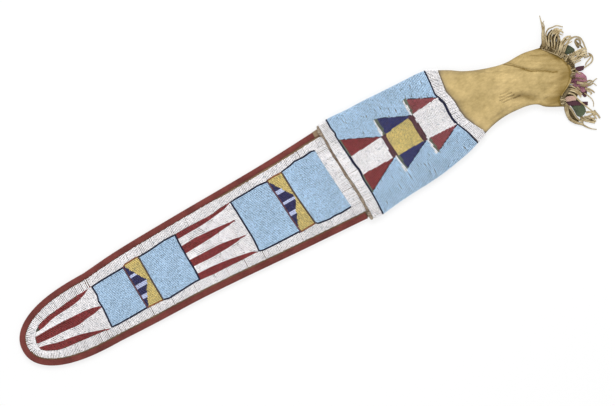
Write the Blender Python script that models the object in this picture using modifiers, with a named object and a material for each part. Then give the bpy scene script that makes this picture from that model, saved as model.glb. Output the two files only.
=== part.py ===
"""A pipe bag of tanned hide with beadwork, lying on its back with its beaded front up.

A flat case with a round tip is sewn at a welted seam to a pouch. The pouch is a tube of hide, beaded all
round at its lower end, and its bare neck ends in an open mouth with a fringe and strips of cloth.
Lengths are in metres. +X runs from the tip to the mouth, +Y across and +Z up. The origin is the middle of
the seam, on the underside.
"""

import math

import bmesh
import bpy
from mathutils import Vector

# Thickness of each material, and the clearance between neighbours
HIDE = 0.0015
WOOL = 0.0010
BEADS = 0.0018
CLOTH = 0.0010
GAP = 0.0003

# Lengths along the case, from the seam to the tip
WELT = 0.0030
END_LANE = 0.0173
BLOCK_1 = 0.0542
NEAR_BAR = 0.0269
BLOCK_2 = 0.0600
LONG_TONGUES = 0.0902
BLOCK_3 = 0.0590
FAR_BAR = 0.0275
BLOCK_4 = 0.0544
TIP_TONGUES = 0.1037

# Bands around the case, counted in from its edge
EDGING = 0.0085
BARE_LINE = 0.0008
BORDER_LANE = 0.0136
NAVY_LINE = 0.0018
BAR_FRAME = 0.0016
LANE_HUMP = 0.0006

# Width and middle of the case at the seam, the near bar, the long tongues, the far bar and the tip's shoulder
CASE_WIDTHS = (0.1440, 0.1328, 0.1201, 0.1152, 0.1085)
CASE_MIDDLES = (0.0052, 0.0050, 0.0074, 0.0066, 0.0050)
# How square the tip's round end is, and how far the front hide stands proud of its rim
TIP_ROUND_X = 2.6
TIP_ROUND_Y = 2.2
CASE_RISE = 0.0062

# How far each line across the bag leans towards the mouth for each metre of y, from the seam to the tip
SEAM_LEAN = -0.031
LINE_LEANS = (-0.070, -0.081, -0.069, -0.025, 0.0, -0.015, -0.036, 0.041)

# The long red tongues, from the upper side to the lower: widths, how they taper, the y of the free ones at
# both ends, and how far they stop short of the block
LONG_TONGUE_WIDTHS = (0.0085, 0.0117, 0.0104, 0.0098)
LONG_TONGUE_TAPER = 2.2
LONG_TONGUE_ROOTS = (0.0200, -0.0022)
LONG_TONGUE_ENDS = (0.0214, -0.0044)
LONG_TONGUE_SHORT = 0.0045
LONG_TONGUE_SHARES = (0.0, 0.25, 0.5, 0.72, 0.88, 1.0)
TONGUE_POINT = 0.0014

# The red tongues of the tip: widths, the y where each starts, how far each stops short of the border lane,
# the y of the middle one at both ends, and the share of its width that a tongue has along its length
TIP_TONGUE_WIDTHS = (0.0076, 0.0132, 0.0100)
TIP_TONGUE_STARTS = (0.036, 0.006, -0.026)
TIP_TONGUE_SHORTS = (0.0060, 0.0016, 0.0024)
TIP_TONGUE_ROOT = 0.0085
TIP_TONGUE_END = 0.0064
TIP_TONGUE_SHARES = (0.0, 0.1, 0.3, 0.6, 0.9, 1.0)
TIP_TONGUE_PROFILE = (0.12, 0.52, 0.95, 1.0, 0.85, 0.5)
TIP_TONGUE_CELLS = (0.0, 0.06, 0.15, 0.3, 0.5, 0.7, 0.88, 1.0)

# How near the navy half diamond of a bar comes to the bar's front frame
DIAMOND_GAP = 0.0048

# Lengths along the beaded end of the pouch, from the seam to the neck
POUCH_LANE = 0.0142
POUCH_LINE = 0.0026
FIRST_PANEL = 0.0505
MAROON_BAR = 0.0068
GOLD_PANEL = 0.0400
SECOND_PANEL = 0.0420
NECK_LANE = 0.0140

# How the two navy lines round the pouch wander: at a y, how far past their place at y = 0
POUCH_LINE_WAVE = ((-0.075, 0.0020), (-0.030, 0.0015), (0.0, 0.0), (0.036, -0.0025), (0.085, -0.0045))
NECK_LINE_WAVE = (
    (-0.055, 0.0175),
    (-0.029, 0.0095),
    (-0.011, 0.0025),
    (0.0, 0.0),
    (0.038, -0.0050),
    (0.077, -0.0020),
)

# The row of squares along the middle of the pouch, and the rise of the triangles beside it
SQUARES_TOP = 0.0184
SQUARES_TOP_SLOPE = 0.0915
SQUARES_BOTTOM = -0.0098
FIRST_TRIANGLE = 0.0292
NAVY_TRIANGLE = 0.0240
LAST_TRIANGLE = 0.0235

# The hide of the pouch: the y of its sides at the seam, the first navy line, the middle of the first square,
# the first bar, the middle of the gold square, the last square, the second navy line and the end of the beads
POUCH_UPPER_SIDE = (0.0799, 0.0815, 0.0798, 0.0795, 0.0782, 0.0770, 0.0746, 0.0680)
POUCH_LOWER_SIDE = (-0.0699, -0.0707, -0.0674, -0.0653, -0.0638, -0.0612, -0.0532, -0.0481)
POUCH_HEIGHT = 0.0092

# How square the pouch's front and its back are in section, and how far its back sags before the ground stops it
POUCH_ROUND = 2.4
POUCH_FLAT = 10.0
POUCH_SAG = 1.04

# How far the welt's middle stands over its edges
WELT_CROWN = 0.0006

# The neck starts a little past the beads. Its sides are at tenths of its length, and it settles on the ground
# over its first stretch
NECK_RUN = 0.0167
NECK_LENGTH = 0.1276
NECK_UPPER_SIDE = (0.0590, 0.0505, 0.0442, 0.0392, 0.0351, 0.0318, 0.0302, 0.0306, 0.0302, 0.0277, 0.0250)
NECK_LOWER_SIDE = (
    -0.0425,
    -0.0382,
    -0.0356,
    -0.0348,
    -0.0356,
    -0.0372,
    -0.0405,
    -0.0452,
    -0.0515,
    -0.0575,
    -0.0630,
)
NECK_HEIGHT = 0.0150
NECK_SETTLE = 0.0300

# The mouth's edge: at a y, how far past the neck's end it reaches
MOUTH_EDGE = (
    (-0.0630, -0.0131),
    (-0.0490, -0.0090),
    (-0.0383, 0.0119),
    (-0.0288, 0.0191),
    (-0.0170, 0.0226),
    (0.0033, 0.0167),
    (0.0176, 0.0060),
    (0.0250, 0.0),
)

# Folds of the neck: points along each, as distance past the neck's start and y, then its depth and half width
NECK_FOLDS = (
    (((0.070, 0.033), (0.081, 0.021), (0.090, 0.011), (0.099, 0.002)), 0.0042, 0.0045),
    (((0.099, 0.002), (0.109, -0.003), (0.120, -0.009), (0.131, -0.016)), 0.0028, 0.0045),
    (((0.060, -0.017), (0.072, -0.022), (0.080, -0.028), (0.086, -0.036)), 0.0032, 0.0050),
    (((0.034, -0.004), (0.048, -0.008), (0.064, -0.010)), 0.0012, 0.0060),
    (((0.108, 0.016), (0.124, 0.009), (0.140, 0.001)), 0.0016, 0.0045),
    (((0.104, -0.030), (0.118, -0.030), (0.134, -0.028)), 0.0018, 0.0050),
    (((0.098, -0.044), (0.108, -0.047), (0.116, -0.050)), 0.0016, 0.0045),
    (((0.052, -0.026), (0.060, -0.030), (0.066, -0.036)), -0.0014, 0.0050),
    (((0.010, 0.036), (0.032, 0.022), (0.056, 0.014)), -0.0014, 0.0100),
    (((0.010, -0.020), (0.032, -0.020), (0.052, -0.018)), -0.0012, 0.0090),
)

# Over what length the folds begin, past the neck's start
FOLD_FADE = 0.0120

# Facets: cells around the pouch and along the neck, and cells across and along the case
ROUND_CELLS = 28
NECK_CELLS = 18
CASE_CELLS = 10
TIP_CELLS = 9

COLOURS = {
    "hide": ((0.585, 0.435, 0.200), 0.85),
    "case_hide": ((0.420, 0.330, 0.210), 0.85),
    "welt": ((0.205, 0.165, 0.105), 0.85),
    "wool": ((0.175, 0.052, 0.045), 0.95),
    "white": ((0.745, 0.710, 0.715), 0.35),
    "blue": ((0.355, 0.505, 0.680), 0.35),
    "red": ((0.195, 0.042, 0.042), 0.35),
    "navy": ((0.038, 0.038, 0.105), 0.35),
    "gold": ((0.535, 0.430, 0.160), 0.35),
    "maroon": ((0.100, 0.050, 0.058), 0.35),
    "brown": ((0.260, 0.120, 0.055), 0.35),
    "green": ((0.095, 0.130, 0.078), 0.95),
    "mauve": ((0.331, 0.180, 0.200), 0.95),
    "purple": ((0.086, 0.040, 0.060), 0.95),
}

# The fringe: its thickness, how far it is sewn back from the mouth, how far it stands off the hide, the width
# of a thong's tip and the steps along a thong
FRINGE = 0.0012
FRINGE_BASE = 0.0045
FRINGE_LIFT = 0.0008
THONG_TIP = 0.0011
THONG_STEPS = 7

# Each thong of the fringe: the y of its root's two sides, then points past the mouth, as length, y and share of
# the root's height
UPPER_THONGS = (
    (0.0245, 0.0200, ((0.003, 0.029, 1.0), (0.006, 0.037, 0.95), (0.011, 0.046, 0.85), (0.018, 0.065, 0.5))),
    (0.0192, 0.0160, ((0.011, 0.026, 0.95), (0.018, 0.034, 0.85), (0.025, 0.039, 0.7), (0.031, 0.040, 0.5))),
    (0.0152, 0.0122, ((0.016, 0.021, 0.95), (0.023, 0.029, 0.85), (0.031, 0.033, 0.7), (0.037, 0.035, 0.5))),
    (0.0114, 0.0084, ((0.021, 0.015, 0.95), (0.027, 0.021, 0.85), (0.033, 0.026, 0.65), (0.036, 0.029, 0.5))),
    (0.0076, 0.0046, ((0.024, 0.010, 0.95), (0.031, 0.015, 0.85), (0.038, 0.019, 0.65), (0.044, 0.020, 0.45))),
)
MIDDLE_THONGS = (
    (-0.001, -0.004, ((0.028, -0.001, 1.0), (0.036, 0.005, 0.95), (0.046, 0.011, 0.85), (0.054, 0.001, 0.5))),
    (-0.0052, -0.0082, ((0.032, -0.006, 0.95), (0.040, -0.004, 0.8), (0.048, -0.003, 0.65), (0.053, -0.006, 0.5))),
    (-0.0094, -0.0124, ((0.033, -0.010, 0.95), (0.041, -0.010, 0.8), (0.049, -0.010, 0.65), (0.055, -0.012, 0.5))),
    (-0.0136, -0.0166, ((0.033, -0.015, 0.95), (0.041, -0.015, 0.8), (0.048, -0.017, 0.65), (0.054, -0.020, 0.5))),
    (-0.0178, -0.0208, ((0.033, -0.019, 0.95), (0.040, -0.021, 0.8), (0.047, -0.024, 0.65), (0.052, -0.028, 0.45))),
)
LOWER_THONGS = (
    (-0.0400, -0.0430, ((0.020, -0.045, 0.95), (0.025, -0.053, 0.85), (0.031, -0.060, 0.65), (0.036, -0.066, 0.45))),
    (-0.0440, -0.0466, ((0.010, -0.052, 0.95), (0.017, -0.061, 0.85), (0.021, -0.071, 0.65), (0.024, -0.083, 0.4))),
    (-0.0476, -0.0505, ((0.000, -0.058, 0.95), (0.006, -0.068, 0.85), (0.014, -0.079, 0.6), (0.023, -0.099, 0.4))),
)

# Single thongs sewn on the neck's front: widths at root and tip, then points as for the fringe
CURLED_THONG = (
    0.0050,
    0.0030,
    ((0.016, -0.0345, 1.0), (0.028, -0.041, 0.9), (0.039, -0.048, 0.65), (0.047, -0.050, 0.5)),
)
LOOP_THONG = (
    0.0085,
    0.0060,
    (
        (-0.018, -0.0535, 1.0),
        (-0.014, -0.066, 0.95),
        (-0.0165, -0.077, 0.6),
        (-0.014, -0.088, 0.45),
        (-0.005, -0.097, 0.35),
        (0.004, -0.104, 0.3),
        (0.010, -0.113, 0.25),
    ),
)

# Strips of cloth out of the mouth: name, colour, widths at both ends, points as length past the mouth and y
TABS = (
    ("upper_green_tab", "green", 0.0060, 0.0105, ((0.008, 0.001), (0.018, 0.004), (0.027, 0.005), (0.036, 0))),
    ("upper_purple_tab", "purple", 0.0055, 0.0070, ((0.012, -0.019), (0.024, -0.023), (0.033, -0.027), (0.042, -0.031))),
    ("mauve_tab", "mauve", 0.0110, 0.0165, ((0.007, -0.031), (0.019, -0.040), (0.026, -0.050), (0.028, -0.060))),
    ("lower_purple_tab", "purple", 0.0080, 0.0110, ((-0.014, -0.036), (-0.006, -0.049), (-0.004, -0.060), (-0.003, -0.068))),
    ("lower_green_tab", "green", 0.0080, 0.0150, ((0.001, -0.040), (0.010, -0.053), (0.013, -0.067), (0.007, -0.087))),
)

# How high the ends of the cloth lie
TAB_REST = 0.0004

# Layers, from the surface that the bag lies on
RIM_TOP = WOOL + 2 * (GAP + HIDE)
POUCH_FLOOR = BEADS + GAP

# Places of the lines across the case, at y = 0, from the seam to the shoulder of the tip
BLOCK_1_FRONT = -(WELT / 2 + GAP + END_LANE)
NEAR_BAR_FRONT = BLOCK_1_FRONT - BLOCK_1
BLOCK_2_FRONT = NEAR_BAR_FRONT - NEAR_BAR
LONG_TONGUES_FRONT = BLOCK_2_FRONT - BLOCK_2
BLOCK_3_FRONT = LONG_TONGUES_FRONT - LONG_TONGUES
FAR_BAR_FRONT = BLOCK_3_FRONT - BLOCK_3
BLOCK_4_FRONT = FAR_BAR_FRONT - FAR_BAR
SHOULDER = BLOCK_4_FRONT - BLOCK_4
FRONTS = (
    BLOCK_1_FRONT,
    NEAR_BAR_FRONT,
    BLOCK_2_FRONT,
    LONG_TONGUES_FRONT,
    BLOCK_3_FRONT,
    FAR_BAR_FRONT,
    BLOCK_4_FRONT,
    SHOULDER,
)
LINES = list(zip(FRONTS, LINE_LEANS))
BANDS = EDGING + BARE_LINE + BORDER_LANE
TIP_LENGTH = TIP_TONGUES + BANDS
CASE_PLACES = (0.0, BLOCK_2_FRONT, BLOCK_3_FRONT, BLOCK_4_FRONT, SHOULDER)

# Places along the beaded end of the pouch, at y = 0
POUCH_START = WELT / 2 + GAP
POUCH_LINE_START = POUCH_START + POUCH_LANE
FIGURE_START = POUCH_LINE_START + POUCH_LINE
FIRST_BAR = FIGURE_START + FIRST_PANEL
GOLD_START = FIRST_BAR + MAROON_BAR
SECOND_BAR = GOLD_START + GOLD_PANEL
SECOND_START = SECOND_BAR + MAROON_BAR
FIGURE_END = SECOND_START + SECOND_PANEL
NECK_LANE_START = FIGURE_END + POUCH_LINE
NECK_LANE_END = NECK_LANE_START + NECK_LANE
NECK_START = NECK_LANE_END + NECK_RUN
MOUTH = NECK_START + NECK_LENGTH
POUCH_PLACES = (
    0.0,
    POUCH_LINE_START,
    FIGURE_START + FIRST_PANEL / 2,
    FIRST_BAR,
    GOLD_START + GOLD_PANEL / 2,
    SECOND_START,
    FIGURE_END,
    NECK_LANE_END,
)
NECK_PLACES = tuple(NECK_START + NECK_LENGTH * k / 10 for k in range(11))


def curve_through(places, values, place):
    """Height at a place of a smooth curve through the values, level past its ends."""
    if places[0] > places[-1]:
        places, values = places[::-1], values[::-1]
    last = len(places) - 1
    place = min(max(place, places[0]), places[-1])
    i = max(k for k in range(last) if places[k] <= place)
    span = places[i + 1] - places[i]

    def slope(k):
        before, after = max(k - 1, 0), min(k + 1, last)
        return (values[after] - values[before]) / (places[after] - places[before])

    t = (place - places[i]) / span
    start, end = slope(i) * span, slope(i + 1) * span
    rise = values[i + 1] - values[i]
    return values[i] + t * (start + t * (3 * rise - 2 * start - end + t * (start + end - 2 * rise)))


def power(base, exponent):
    """A power that keeps the sign of its base."""
    return math.copysign(abs(base) ** exponent, base)


def wave_at(wave, y):
    return curve_through([p[0] for p in wave], [p[1] for p in wave], y)


def without_repeats(points):
    return [p for k, p in enumerate(points) if (p - points[k - 1]).length > 1e-5]


def inset(points, amount):
    """The outline moved inwards by the amount, for points listed anticlockwise."""
    points = without_repeats(points)
    moved = []
    for i, point in enumerate(points):
        before = (point - points[i - 1]).normalized()
        after = (points[(i + 1) % len(points)] - point).normalized()
        inwards = Vector((-before.y - after.y, before.x + after.x))
        reach = min(2 / max(inwards.length, 1e-3), 3.0)
        moved.append(point + inwards.normalized() * reach * amount)
    return moved


# The case's outline and surface


def case_middle(x):
    return curve_through(CASE_PLACES, CASE_MIDDLES, x)


def case_half(x):
    return curve_through(CASE_PLACES, CASE_WIDTHS, x) / 2


def case_front(x, across, lift):
    """A point at a height above the case's front hide; across is -1 at one edge and 1 at the other."""
    past = max(SHOULDER - x, 0.0) / TIP_LENGTH
    edge = min(past**TIP_ROUND_X + abs(across) ** TIP_ROUND_Y, 1.0)
    y = case_middle(x) + across * case_half(x)
    return Vector((x, y, RIM_TOP + CASE_RISE * (1 - edge) + lift))


def across_case(point):
    """The place of a plan point on the case's front, as x and its share of the half width."""
    return Vector((point.x, (point.y - case_middle(point.x)) / case_half(point.x)))


def straight_side(band, side):
    """The case's edge from the seam to the shoulder, moved in by the band."""
    points = []
    for near, far in zip(CASE_PLACES, CASE_PLACES[1:]):
        for x in (near, (near + far) / 2):
            points.append(Vector((x, case_middle(x) + side * (case_half(x) - band))))
    points[0].x = SEAM_LEAN * points[0].y - WELT / 2 - GAP
    return points


def round_tip(band):
    """The case's edge round the tip, from its upper shoulder to its lower one, moved in by the band."""
    half = case_half(SHOULDER)
    points = []
    for k in range(2 * TIP_CELLS + 1):
        angle = math.pi / 2 * (1 - k / TIP_CELLS)
        along = max(math.cos(angle), 0.0) ** (2 / TIP_ROUND_X)
        out = power(math.sin(angle), 2 / TIP_ROUND_Y)
        normal = Vector((
            -TIP_ROUND_X * along ** (TIP_ROUND_X - 1) / TIP_LENGTH,
            TIP_ROUND_Y * power(out, TIP_ROUND_Y - 1) / half,
        )).normalized()
        edge = Vector((SHOULDER - along * TIP_LENGTH, case_middle(SHOULDER) + out * half))
        points.append(edge - band * normal)
    return points


def rim(band):
    """The case's outline in plan at a distance inside its edge, from the seam over the tip and back to the seam."""
    return straight_side(band, 1) + round_tip(band) + straight_side(band, -1)[::-1]


def lane_edge(start, end, side, band=0.0):
    """Points along the inner edge of the border lane between two places, moved further in by the band."""
    tip = round_tip(BANDS)
    edge = straight_side(BANDS, side) + (tip[: TIP_CELLS + 1] if side > 0 else tip[: TIP_CELLS - 1 : -1])
    low, high = min(start, end), max(start, end)

    def at(x):
        i = max((k for k in range(len(edge) - 1) if edge[k].x >= x), default=0)
        share = (edge[i].x - x) / (edge[i].x - edge[i + 1].x)
        return edge[i].lerp(edge[i + 1], share)

    inner = [p for p in edge if low + 1e-4 < p.x < high - 1e-4]
    points = [at(high)] + inner + [at(low)]
    if start < end:
        points.reverse()
    return [p - Vector((0, side * band)) for p in points]


def lane_y(x, side):
    """The y of the border lane's inner edge."""
    return lane_edge(x, x + 0.001, side)[0].y


# The pouch's surface


def pouch_section(distance):
    """Middle, half width, floor and height of the hide at a distance from the seam."""
    places = POUCH_PLACES + NECK_PLACES
    upper = curve_through(places, POUCH_UPPER_SIDE + NECK_UPPER_SIDE, distance)
    lower = curve_through(places, POUCH_LOWER_SIDE + NECK_LOWER_SIDE, distance)
    bare = min(max((distance - NECK_START) / NECK_SETTLE, 0.0), 1.0)
    floor = POUCH_FLOOR * (1 - bare)
    height = POUCH_HEIGHT + bare * (NECK_HEIGHT - POUCH_HEIGHT)
    return (upper + lower) / 2, (upper - lower) / 2, floor, height


def nearest_on(path, point):
    """Distance in plan from a point to a path."""
    best = 1.0
    for start, end in zip(path, path[1:]):
        start, end = Vector(start), Vector(end)
        share = (point - start).dot(end - start) / (end - start).length_squared
        best = min(best, (point - start.lerp(end, min(max(share, 0.0), 1.0))).length)
    return best


def folds_at(x, y):
    """How much the neck's folds lower its front at a plan point."""
    point = Vector((x - NECK_START, y))
    fade = min(max(point.x / FOLD_FADE, 0.0), 1.0)
    drops = [depth * math.exp(-((nearest_on(path, point) / half) ** 2)) for path, depth, half in NECK_FOLDS]
    return fade * sum(drops)


def pouch_point(distance, turn, lift):
    """A point above the pouch's hide; turn is an angle from its lower side over the front to its upper side."""
    middle, half, floor, height = pouch_section(distance)
    side = floor + height / 2
    y = middle - (half + lift) * power(math.cos(turn), 2 / POUCH_ROUND)
    x = distance
    if distance > NECK_START:
        share = (distance - NECK_START) / NECK_LENGTH
        x = NECK_START + share * (NECK_LENGTH + wave_at(MOUTH_EDGE, y))
    up = math.sin(turn)
    if up < 0:
        deep = (height / 2 * POUCH_SAG + lift) * abs(up) ** (2 / POUCH_FLAT)
        return Vector((x, y, max(side - deep, floor - lift)))
    z = side + (height / 2 + lift) * up ** (2 / POUCH_ROUND)
    return Vector((x, y, z - min(2 * up, 1.0) * folds_at(x, y)))


def on_seam(x, turn, lift):
    """A point over the pouch's hide on a line that runs with the seam, at a distance from it."""
    across = pouch_point(max(x, 0.0), turn, lift)
    point = pouch_point(max(x + SEAM_LEAN * across.y, 0.0), turn, lift)
    point.x = x + SEAM_LEAN * across.y
    return point


def turn_at(point):
    """The place of a plan point on the pouch's front, as distance from the seam and angle."""
    middle, half = pouch_section(point.x)[:2]
    share = min(max((middle - point.y) / (half + BEADS), -1.0), 1.0)
    return Vector((point.x, math.acos(power(share, POUCH_ROUND / 2))))


def neck_top(point, lift):
    """Height above a plan point of the neck's front."""
    share = (point.x - NECK_START) / (NECK_LENGTH + wave_at(MOUTH_EDGE, point.y))
    distance = NECK_START + min(share, 1.0) * NECK_LENGTH
    middle, half = pouch_section(distance)[:2]
    across = min(max((middle - point.y) / half, -0.97), 0.97)
    return pouch_point(distance, math.acos(power(across, POUCH_ROUND / 2)), lift).z


# Building pieces


def finish(mesh, name, colour):
    """Makes the mesh an object with its own material."""
    data = bpy.data.meshes.new(name)
    mesh.to_mesh(data)
    mesh.free()
    data.shade_smooth()
    data.set_sharp_from_angle(angle=math.radians(35))
    piece = bpy.data.objects.new(name, data)
    parts.objects.link(piece)
    rgb, roughness = COLOURS[colour]
    material = bpy.data.materials.new(name)
    material.use_nodes = True
    shader = material.node_tree.nodes["Principled BSDF"]
    shader.inputs["Base Color"].default_value = (*rgb, 1)
    shader.inputs["Roughness"].default_value = roughness
    data.materials.append(material)
    return piece


def close_up(mesh):
    """Cuts a closed mesh into triangles that face out."""
    mesh.normal_update()
    bmesh.ops.triangulate(mesh, faces=mesh.faces[:])
    bmesh.ops.recalc_face_normals(mesh, faces=mesh.faces[:])


def thicken(piece, thickness, offset):
    modifier = piece.modifiers.new("thickness", "SOLIDIFY")
    modifier.thickness = thickness
    modifier.offset = offset
    modifier.use_even_offset = True


def sheet(name, colour, outline, place, cuts_x, cuts_across, low, high, closed=False):
    """A layer between two heights above a surface, from an outline in flat coordinates, divided along the cuts."""
    mesh = bmesh.new()
    mesh.faces.new([mesh.verts.new((p.x, p.y, 0)) for p in outline])
    mesh.normal_update()
    for normal, cuts in (((1, 0, 0), cuts_x), ((0, 1, 0), cuts_across)):
        for cut in cuts:
            everything = mesh.verts[:] + mesh.edges[:] + mesh.faces[:]
            point = [cut * n for n in normal]
            bmesh.ops.bisect_plane(mesh, geom=everything, dist=2e-5, plane_co=point, plane_no=normal)
    along = mesh.verts.layers.float.new("along")
    across = mesh.verts.layers.float.new("across")
    for vert in mesh.verts:
        vert[along], vert[across] = vert.co.x, vert.co.y
        vert.co = place(vert[along], vert[across], low)
    if closed:
        bmesh.ops.remove_doubles(mesh, verts=mesh.verts[:], dist=1e-6)
    grown = bmesh.ops.extrude_face_region(mesh, geom=mesh.faces[:], use_keep_orig=True)
    for item in grown["geom"]:
        if isinstance(item, bmesh.types.BMVert):
            item.co = place(item[along], item[across], high)
    close_up(mesh)
    finish(mesh, name, colour)


def loft(name, colour, rings, looped=False):
    """A body through rings of points that all have the same count."""
    mesh = bmesh.new()
    rows = [[mesh.verts.new(p) for p in ring] for ring in rings]
    if looped:
        rows.append(rows[0])
    for row, after in zip(rows, rows[1:]):
        for k in range(len(row)):
            following = (k + 1) % len(row)
            mesh.faces.new((row[k], row[following], after[following], after[k]))
    if not looped:
        mesh.faces.new(rows[0][::-1])
        mesh.faces.new(rows[-1])
    close_up(mesh)
    finish(mesh, name, colour)


def case_field(name, colour, plan):
    """A field of beads on the case, from its outline in plan."""
    outline = [across_case(p) for p in inset(plan, GAP / 2)]
    sheet(name, colour, outline, case_front, CASE_CUTS_X, CASE_CUTS_ACROSS, GAP, GAP + BEADS)


def pouch_field(name, colour, plan):
    """A field of beads on the pouch's front, from its outline in plan."""
    outline = [turn_at(p) for p in inset(plan, GAP / 2)]
    sheet(name, colour, outline, pouch_point, POUCH_CUTS_X, ROUND_CUTS, GAP, GAP + BEADS)


# Pieces of the case


def make_case_hides():
    outline = rim(WOOL + GAP)
    floor = WOOL + GAP
    sheet("case_back_hide", "case_hide", outline, lambda x, y, z: Vector((x, y, z)), (), (), floor, floor + HIDE)
    laid = [across_case(p) for p in outline]
    sheet("case_front_hide", "case_hide", laid, case_front, CASE_CUTS_X, CASE_CUTS_ACROSS, -HIDE, 0)


def make_edging():
    """The wool strip folded round the case's edge, over the rims of both hides."""
    rings = []
    for edge, turn, inner in zip(rim(0.0), rim(WOOL), rim(EDGING)):
        top = case_front(*across_case(inner), GAP).z
        low = case_front(*across_case(turn), GAP).z
        section = (
            (inner, 0), (turn, 0), (edge, WOOL), (edge, low), (turn, low + WOOL), (inner, top + WOOL),
            (inner, top), (turn, low), (turn, WOOL), (inner, WOOL),
        )
        rings.append([(p.x, p.y, z) for p, z in section])
    loft("wool_edging", "wool", rings)


def make_border_lane():
    """The white lane inside the edging, humped across as lanes of beads are."""
    rings = []
    for outer, inner in zip(rim(EDGING + BARE_LINE), rim(BANDS - GAP / 2)):
        places = [across_case(outer.lerp(inner, share)) for share in (0.0, 0.3, 0.7, 1.0)]
        over = [case_front(*p, GAP + BEADS + lift) for p, lift in zip(places, (0, LANE_HUMP, LANE_HUMP, 0))]
        rings.append([case_front(*p, GAP) for p in reversed(places)] + over)
    loft("border_lane", "white", rings)


def patch(front, back, upper=0.0, lower=0.0, front_in=0.0, back_in=0.0):
    """The four edges of a field between two lines across the case, anticlockwise, each moved in by an amount."""
    corners = {}
    for key, (x, lean), shift in (("front", front, -front_in), ("back", back, back_in)):
        for side, band in ((1, upper), (-1, lower)):
            y = lane_y(x, side)
            corners[key, side] = lane_edge(x + shift + lean * y, x + shift + lean * y + 0.001, side, band)[0]

    def across(start, end):
        return [start.lerp(end, k / 5) for k in range(6)]

    return {
        "upper": lane_edge(corners["front", 1].x, corners["back", 1].x, 1, upper),
        "back": across(corners["back", 1], corners["back", -1]),
        "lower": lane_edge(corners["back", -1].x, corners["front", -1].x, -1, lower),
        "front": across(corners["front", -1], corners["front", 1]),
    }


def outline_of(edges):
    return edges["upper"] + edges["back"] + edges["lower"] + edges["front"]


def line_of(outer, inner, *sides):
    """The outline of a narrow band between two patches, along the sides named in order."""
    outside = [p for side in sides for p in outer[side]]
    inside = [p for side in reversed(sides) for p in reversed(inner[side])]
    return outside + inside


def make_block(number, front, back, lined):
    """A blue block and its navy outline, which runs along both long edges and the lined end, if any."""
    outer = patch(front, back)
    ends = {"front_in": NAVY_LINE * (lined == "front"), "back_in": NAVY_LINE * (lined == "back")}
    inner = patch(front, back, NAVY_LINE, NAVY_LINE, **ends)
    case_field(f"blue_block_{number}", "blue", outline_of(inner))
    if lined == "back":
        case_field(f"navy_outline_{number}", "navy", line_of(outer, inner, "upper", "back", "lower"))
    elif lined == "front":
        case_field(f"navy_outline_{number}", "navy", line_of(outer, inner, "lower", "front", "upper"))
    else:
        case_field(f"navy_outline_{number}_upper", "navy", line_of(outer, inner, "upper"))
        case_field(f"navy_outline_{number}_lower", "navy", line_of(outer, inner, "lower"))


def make_bar(name, front, back):
    """A gold bar in a brown frame, with a navy line at its back that swells into a half diamond."""
    outer = patch(front, back)
    inner = patch(front, back, BAR_FRAME, BAR_FRAME, front_in=BAR_FRAME)
    case_field(f"{name}_frame", "brown", line_of(outer, inner, "lower", "front", "upper"))
    stem = Vector((BAR_FRAME, 0))
    top, bottom = inner["back"][0], inner["back"][-1]
    apex = (inner["front"][0] + inner["front"][-1]) / 2 - Vector((DIAMOND_GAP, 0))
    rising = [(bottom + stem).lerp(apex, k / 3) for k in range(4)]
    rising += [apex.lerp(top + stem, k / 3) for k in (1, 2, 3)]
    case_field(f"{name}_navy", "navy", inner["back"] + rising)
    gold = [p for p in inner["upper"] if p.x > top.x + BAR_FRAME] + rising[::-1]
    gold += [p for p in inner["lower"] if p.x > bottom.x + BAR_FRAME] + inner["front"]
    case_field(f"{name}_gold", "gold", gold)


def make_long_tongues():
    """Four red tongues that point from the third block to the second, and the white ground around them."""
    front, back = LINES[3], LINES[4]
    whole = patch(front, back)
    start, end = back[0], front[0] - LONG_TONGUE_SHORT
    places = [start + (end - start) * share for share in LONG_TONGUE_SHARES]

    def width(k, x):
        share = (x - start) / (end - start)
        return TONGUE_POINT + (LONG_TONGUE_WIDTHS[k] - TONGUE_POINT) * (1 - share**LONG_TONGUE_TAPER)

    def middle(k, x):
        share = (x - start) / (end - start)
        return LONG_TONGUE_ROOTS[k - 1] + share * (LONG_TONGUE_ENDS[k - 1] - LONG_TONGUE_ROOTS[k - 1])

    uppers, lowers = [], []
    for k in range(4):
        if k == 0:
            edge = lane_edge(start, end, 1)
            other = [Vector((x, lane_y(x, 1) - width(k, x))) for x in places]
            uppers.append(edge)
            lowers.append(other)
        elif k == 3:
            edge = lane_edge(start, end, -1)
            other = [Vector((x, lane_y(x, -1) + width(k, x))) for x in places]
            uppers.append(other)
            lowers.append(edge)
        else:
            uppers.append([Vector((x, middle(k, x) + width(k, x) / 2)) for x in places])
            lowers.append([Vector((x, middle(k, x) - width(k, x) / 2)) for x in places])
        case_field(f"long_tongue_{k + 1}", "red", lowers[k] + uppers[k][::-1])
    ground = [p for p in whole["upper"] if p.x > end] + [uppers[0][-1]]
    for k in range(3):
        ground += lowers[k][::-1] + uppers[k + 1]
    ground += [lowers[3][-1]] + [p for p in whole["lower"] if p.x > end] + whole["front"]
    case_field("long_tongue_ground", "white", ground)


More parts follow.
